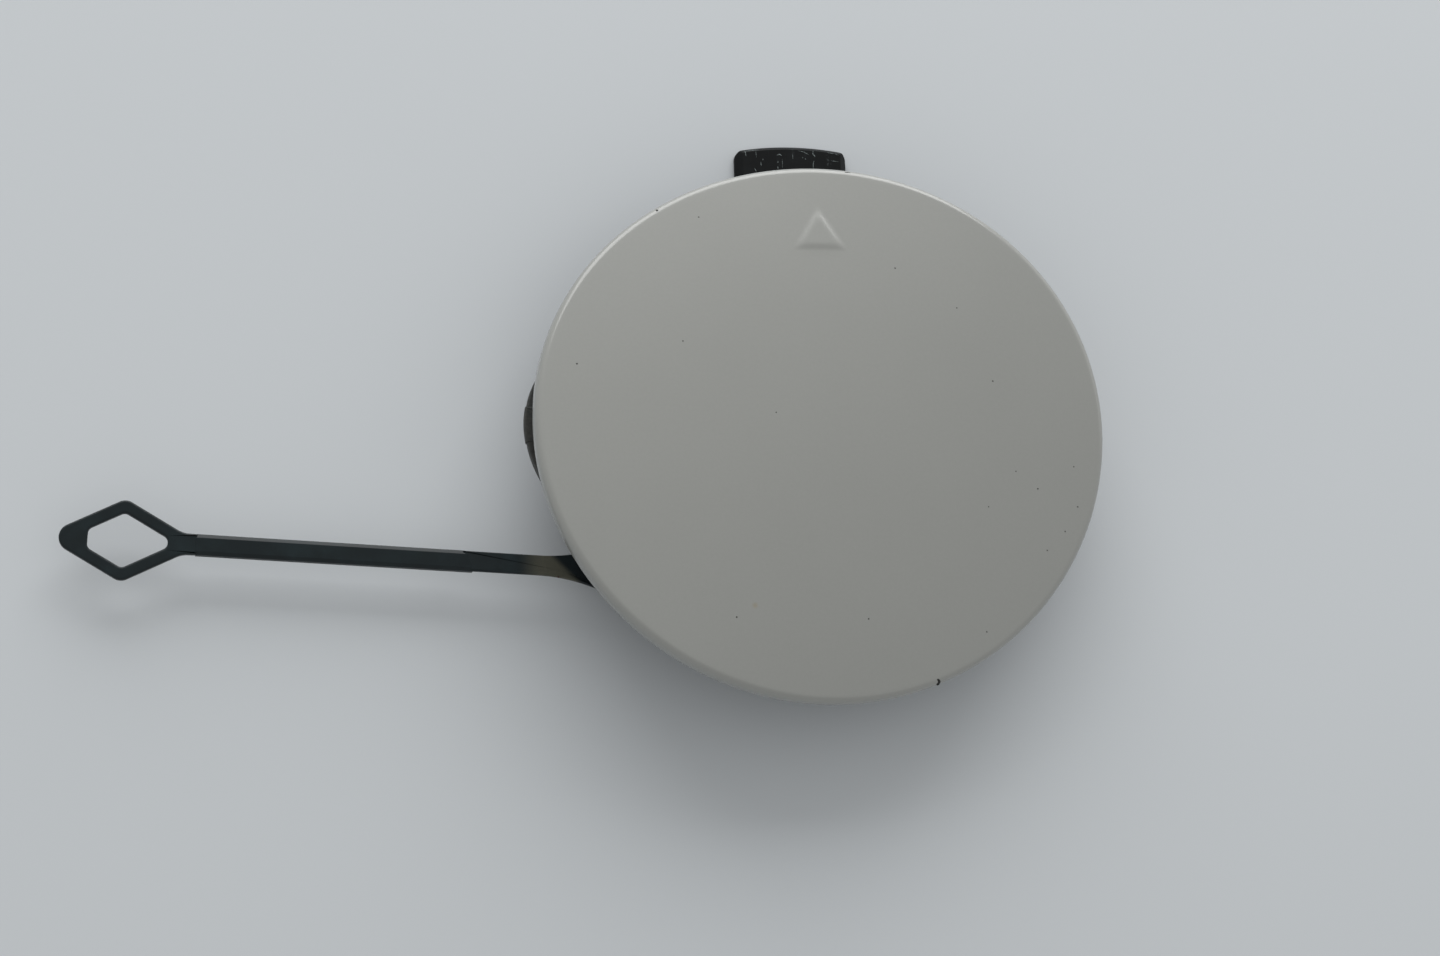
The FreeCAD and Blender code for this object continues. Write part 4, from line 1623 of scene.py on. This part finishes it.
@dataclass
class Wear(Feature):
    """Marks of use: chips at the rim, baked-on specks and scratches on the tongue.

    Specks, the nick and the rust spot are X, Y and size across. A scratch is its greatest width
    and the plan points that it passes. All are in millimetres.
    """

    face: Face
    tongue: Tongue
    specks: tuple[Triple, ...] = (
        (-30.9, 7.3, 0.22), (-17.9, 10.3, 0.18), (-15.0, 26.7, 0.18), (-6.8, 1.4, 0.16),
        (9.4, 20.3, 0.2), (17.1, 15.3, 0.16), (21.3, 6.0, 0.2), (23.9, -5.3, 0.16),
        (26.8, -7.4, 0.2), (20.1, -9.8, 0.16), (32.2, -9.5, 0.2), (30.4, -12.6, 0.18),
        (27.9, -15.0, 0.18), (19.6, -25.1, 0.18), (4.1, -23.7, 0.2), (31.8, -4.5, 0.16),
        (-12.5, -23.6, 0.2))
    pit: Triple = (-20.1, 27.6, 0.3)
    chip_path: Path = (
        (13.0, -30.86), (13.2, -31.0), (13.34, -31.18), (13.26, -31.36), (13.05, -31.5))
    chip_widths: tuple[float, ...] = (0.16, 0.3, 0.38, 0.36, 0.2)
    nick_path: Path = ((3.95, 33.12), (4.3, 33.17), (4.7, 33.13))
    nick_widths: tuple[float, ...] = (0.06, 0.14, 0.05)
    rust: Triple = (-32.3, -17.3, 0.2)
    speck_turn: float = 1.7
    pit_turn: float = 0.6
    swings: int = 3
    swing: float = 0.22
    dome_shares: tuple[float, ...] = (0.5, 0.85, 1.0, 1.0)
    dome_lifts: tuple[float, ...] = (0.02, 0.012, 0.0, -0.05)
    dome_peak: float = 0.022
    ribbon_steps: int = 25
    ribbon_shares: tuple[float, ...] = (-0.5, -0.25, 0.0, 0.25, 0.5, 0.5, -0.5)
    ribbon_lifts: tuple[float, ...] = (0.0, 0.016, 0.02, 0.016, 0.0, -0.06, -0.06)
    scratch_taper: tuple[float, ...] = (0.4, 1.0, 1.0, 0.4)
    scratches: tuple[tuple[float, Path], ...] = (
        (0.1, ((-6.03, 39.54), (-5.92, 38.72))),
        (0.07, ((-5.9, 39.5), (-5.0, 39.64), (-4.18, 39.74))),
        (0.07, ((5.04, 39.74), (5.96, 39.62))),
        (0.05, ((-4.59, 39.47), (-4.53, 38.64))),
        (0.1, ((-3.66, 38.48), (-3.68, 38.29))),
        (0.1, ((-3.98, 38.03), (-3.92, 37.5))),
        (0.13, ((-1.76, 39.06), (-1.42, 39.2), (-1.12, 39.04))),
        (0.12, ((-1.65, 38.31), (-1.66, 38.02))),
        (0.12, ((-1.7, 37.5), (-1.69, 37.21))),
        (0.05, ((-1.06, 38.55), (-1.07, 37.33))),
        (0.08, ((-4.84, 37.13), (-4.61, 36.69))),
        (0.05, ((0.37, 39.3), (0.37, 38.62))),
        (0.08, ((1.12, 39.81), (1.88, 39.67), (2.59, 39.29))),
        (0.09, ((2.02, 38.81), (2.13, 38.65))),
        (0.09, ((1.66, 38.92), (1.77, 38.83))),
        (0.12, ((3.16, 39.9), (3.11, 39.43), (3.36, 39.19), (3.33, 39.0))),
        (0.1, ((3.22, 38.53), (3.09, 37.96), (3.1, 37.45))),
        (0.07, ((5.6, 38.63), (6.54, 38.53))),
        (0.06, ((6.05, 39.6), (6.58, 39.44))))

    def blot(self, speck: Triple, turn: float, ground: Height) -> Surface:
        """A flat uneven dome over a speck's place: a circle whose radius swings in and out.

        Args:
            speck: Where it lies and how large it is.
            turn: Where the swings begin.
            ground: Height of what it lies on.

        Returns:
            The closed surface.
        """
        x, y, across = speck
        angle = runs((0.0, FULL, 14))
        reach = across / 2 * (1 + self.swing * np.sin(self.swings * angle + turn))
        share = np.array(self.dome_shares)[:, None]
        lift = np.array(self.dome_lifts)[:, None]
        plan = polar(angle, share * reach) + [x, y]
        middle = ground(np.array([[x, y]]))[0]
        poles = np.array([[x, y, middle + self.dome_peak], [x, y, middle + self.dome_lifts[-1]]])
        return Surface.from_rings(raised(plan, ground(plan) + lift), poles)

    def streak(self, path: Path, widths: Array, ground: Height) -> Surface:
        """A flat ribbon along a smooth path, as a low closed mound.

        Args:
            path: Plan points that the ribbon passes.
            widths: Its widths at even steps along it.
            ground: Height of what it lies on.

        Returns:
            The closed surface.
        """
        at = np.linspace(0.0, len(path) - 1.0, self.ribbon_steps)
        middle = np.stack([np.interp(at, np.arange(len(path)), line) for line in zip(*path)],
                          axis=1)
        middle[1:-1] = (middle[:-2] + 2 * middle[1:-1] + middle[2:]) / 4
        width = np.interp(at / at[-1], np.linspace(0.0, 1.0, len(widths)), widths)
        along = np.gradient(middle, axis=0)
        across = unit(np.stack([-along[:, 1], along[:, 0]], axis=1))
        share = width[:, None] * np.array(self.ribbon_shares)
        plan = middle[:, None] + across[:, None] * share[..., None]
        rings = raised(plan, ground(plan) + np.array(self.ribbon_lifts))
        return Surface.from_rings(rings, rings[[0, -1]].mean(axis=1))

    def build(self) -> None:
        """Makes the specks, the chips, the spot of rust and the scratches."""
        on_face = self.face.height
        blots = [self.blot(speck, self.speck_turn * number, on_face)
                 for number, speck in enumerate(self.specks)]
        self.show(Surface.joined(blots), "baked_specks", DIRT, slot=Slot.FACE_PAINT)
        chips = [self.streak(self.chip_path, np.array(self.chip_widths), on_face),
                 self.streak(self.nick_path, np.array(self.nick_widths), on_face),
                 self.blot(self.pit, self.pit_turn, on_face)]
        self.show(Surface.joined(chips), "rim_chips", CHIPPED)
        strap = level(self.face.moulding.strap_top)
        self.show(self.blot(self.rust, 0.0, strap), "rust_spot", RUST)
        lines = [self.streak(path, width * np.array(self.scratch_taper), self.tongue.top)
                 for width, path in self.scratches]
        self.show(Surface.joined(lines), "tongue_scratches", SCRATCHED)


@dataclass
class Studio:
    """The plain floor, the soft light and the camera at the photograph's angle.

    Places are in millimetres in the cover's frame.
    """

    floor_half: float = 2500.0
    floor_thickness: float = 20.0
    floor_gap: float = 0.01
    floor_edge: float = 2.0
    sky_colour: str = "#F5F6F6"
    horizon_strength: float = 0.73
    zenith_strength: float = 0.5
    key_from: Triple = (0.0, 780.0, 340.0)
    key_size: tuple[float, float] = (1100.0, 680.0)
    key_watts: float = 8.4
    fill_from: Triple = (780.0, 360.0, 330.0)
    fill_size: tuple[float, float] = (600.0, 400.0)
    fill_watts: float = 0.3
    camera_at: Triple = (-80.166, -64.851, 289.169)
    camera_to: Triple = (-13.645, -6.444, 13.0)
    camera_roll: float = -2.004
    lens: float = 60.0
    sensor: float = 36.0

    @staticmethod
    def put(name: str, data: bpy.types.ID) -> bpy.types.Object:
        """Links a new object into the scene.

        Args:
            name: The object's name.
            data: What it shows: a mesh, a lamp or a camera.

        Returns:
            The object.
        """
        made = bpy.data.objects.new(name, data)
        bpy.context.scene.collection.objects.link(made)
        return made

    def floor(self) -> None:
        """Lays a large plain board under the cover."""
        corners = self.floor_half * np.array([[-1.0, -1.0], [1.0, -1.0], [1.0, 1.0], [-1.0, 1.0]])
        board = slab(evenly_spaced(corners, count=40), level(-self.floor_thickness),
                     level(-self.floor_gap), self.floor_edge)
        piece = self.put("floor", board.mesh("floor"))
        piece.data.materials.append(BOARD.material())

    def sky(self) -> None:
        """Sets a pale world that dims evenly from the horizon to overhead."""
        world = bpy.data.worlds.new("even_sky")
        world.use_nodes = True
        tree = world.node_tree
        tree.nodes.clear()
        way = add_node(tree, "ShaderNodeTexCoord").outputs["Generated"]
        up = add_node(tree, "ShaderNodeVectorMath", DOT_PRODUCT, {0: way, 1: (0.0, 0.0, 1.0)})
        strength = add_node(tree, "ShaderNodeMapRange", inputs={
            "Value": up.outputs["Value"], "To Min": self.horizon_strength,
            "To Max": self.zenith_strength})
        glow = add_node(tree, "ShaderNodeBackground", inputs={
            "Color": linear(self.sky_colour), "Strength": strength.outputs[0]})
        add_node(tree, "ShaderNodeOutputWorld", inputs={"Surface": glow.outputs[0]})
        bpy.context.scene.world = world

    def lamp(self, name: str, place: Triple, size: tuple[float, float], watts: float) -> None:
        """Hangs one oblong soft lamp that shines at the cover.

        Args:
            name: The lamp's name.
            place: Where it hangs, in millimetres.
            size: Its level side and its other side.
            watts: Its power.
        """
        light = bpy.data.lights.new(name, "AREA")
        light.shape = "RECTANGLE"
        light.size, light.size_y = (side * MM for side in size)
        light.energy = watts
        lamp = self.put(name, light)
        lamp.location = Vector(place) * MM
        lamp.rotation_euler = (-Vector(place)).to_track_quat("-Z", "Y").to_euler()

    def camera(self) -> None:
        """Sets the camera.

        Its own X and Y axes are first square to the line of sight and upright against the
        cover's +Y, and then rolled about that line.
        """
        sight = (Vector(self.camera_to) - Vector(self.camera_at)).normalized()
        right = sight.cross(Vector((0.0, 1.0, 0.0))).normalized()
        up = right.cross(sight)
        roll = math.radians(self.camera_roll)
        rolled_right = right * math.cos(roll) + up * math.sin(roll)
        rolled_up = up * math.cos(roll) - right * math.sin(roll)
        place = Matrix((rolled_right, rolled_up, -sight)).transposed().to_4x4()
        place.translation = Vector(self.camera_at) * MM
        lens = bpy.data.cameras.new("photo_camera")
        lens.sensor_width = self.sensor
        lens.lens = self.lens
        lens.clip_start = 0.01
        camera = self.put("photo_camera", lens)
        camera.matrix_world = place
        bpy.context.scene.camera = camera

    def build(self) -> None:
        """Sets up everything round the cover."""
        bpy.context.scene.view_settings.view_transform = "Standard"
        self.floor()
        self.sky()
        self.lamp("key", self.key_from, self.key_size, self.key_watts)
        self.lamp("fill", self.fill_from, self.fill_size, self.fill_watts)
        self.camera()


def main() -> None:
    """Builds the studio and then the cover, feature by feature."""
    logging.basicConfig(level=logging.INFO, format="%(message)s")
    Studio().build()
    moulding = Moulding(Crown(apex=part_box(NODE)[1].z / MM))
    face = Face(moulding)
    tongue = Tongue(moulding)
    for feature in (face, Collar(moulding), tongue, PivotEars(moulding), Latch(moulding),
                    Strap(moulding), MouldMarks(moulding), Wear(face, tongue)):
        feature.build()


if __name__ == "__main__":
    main()
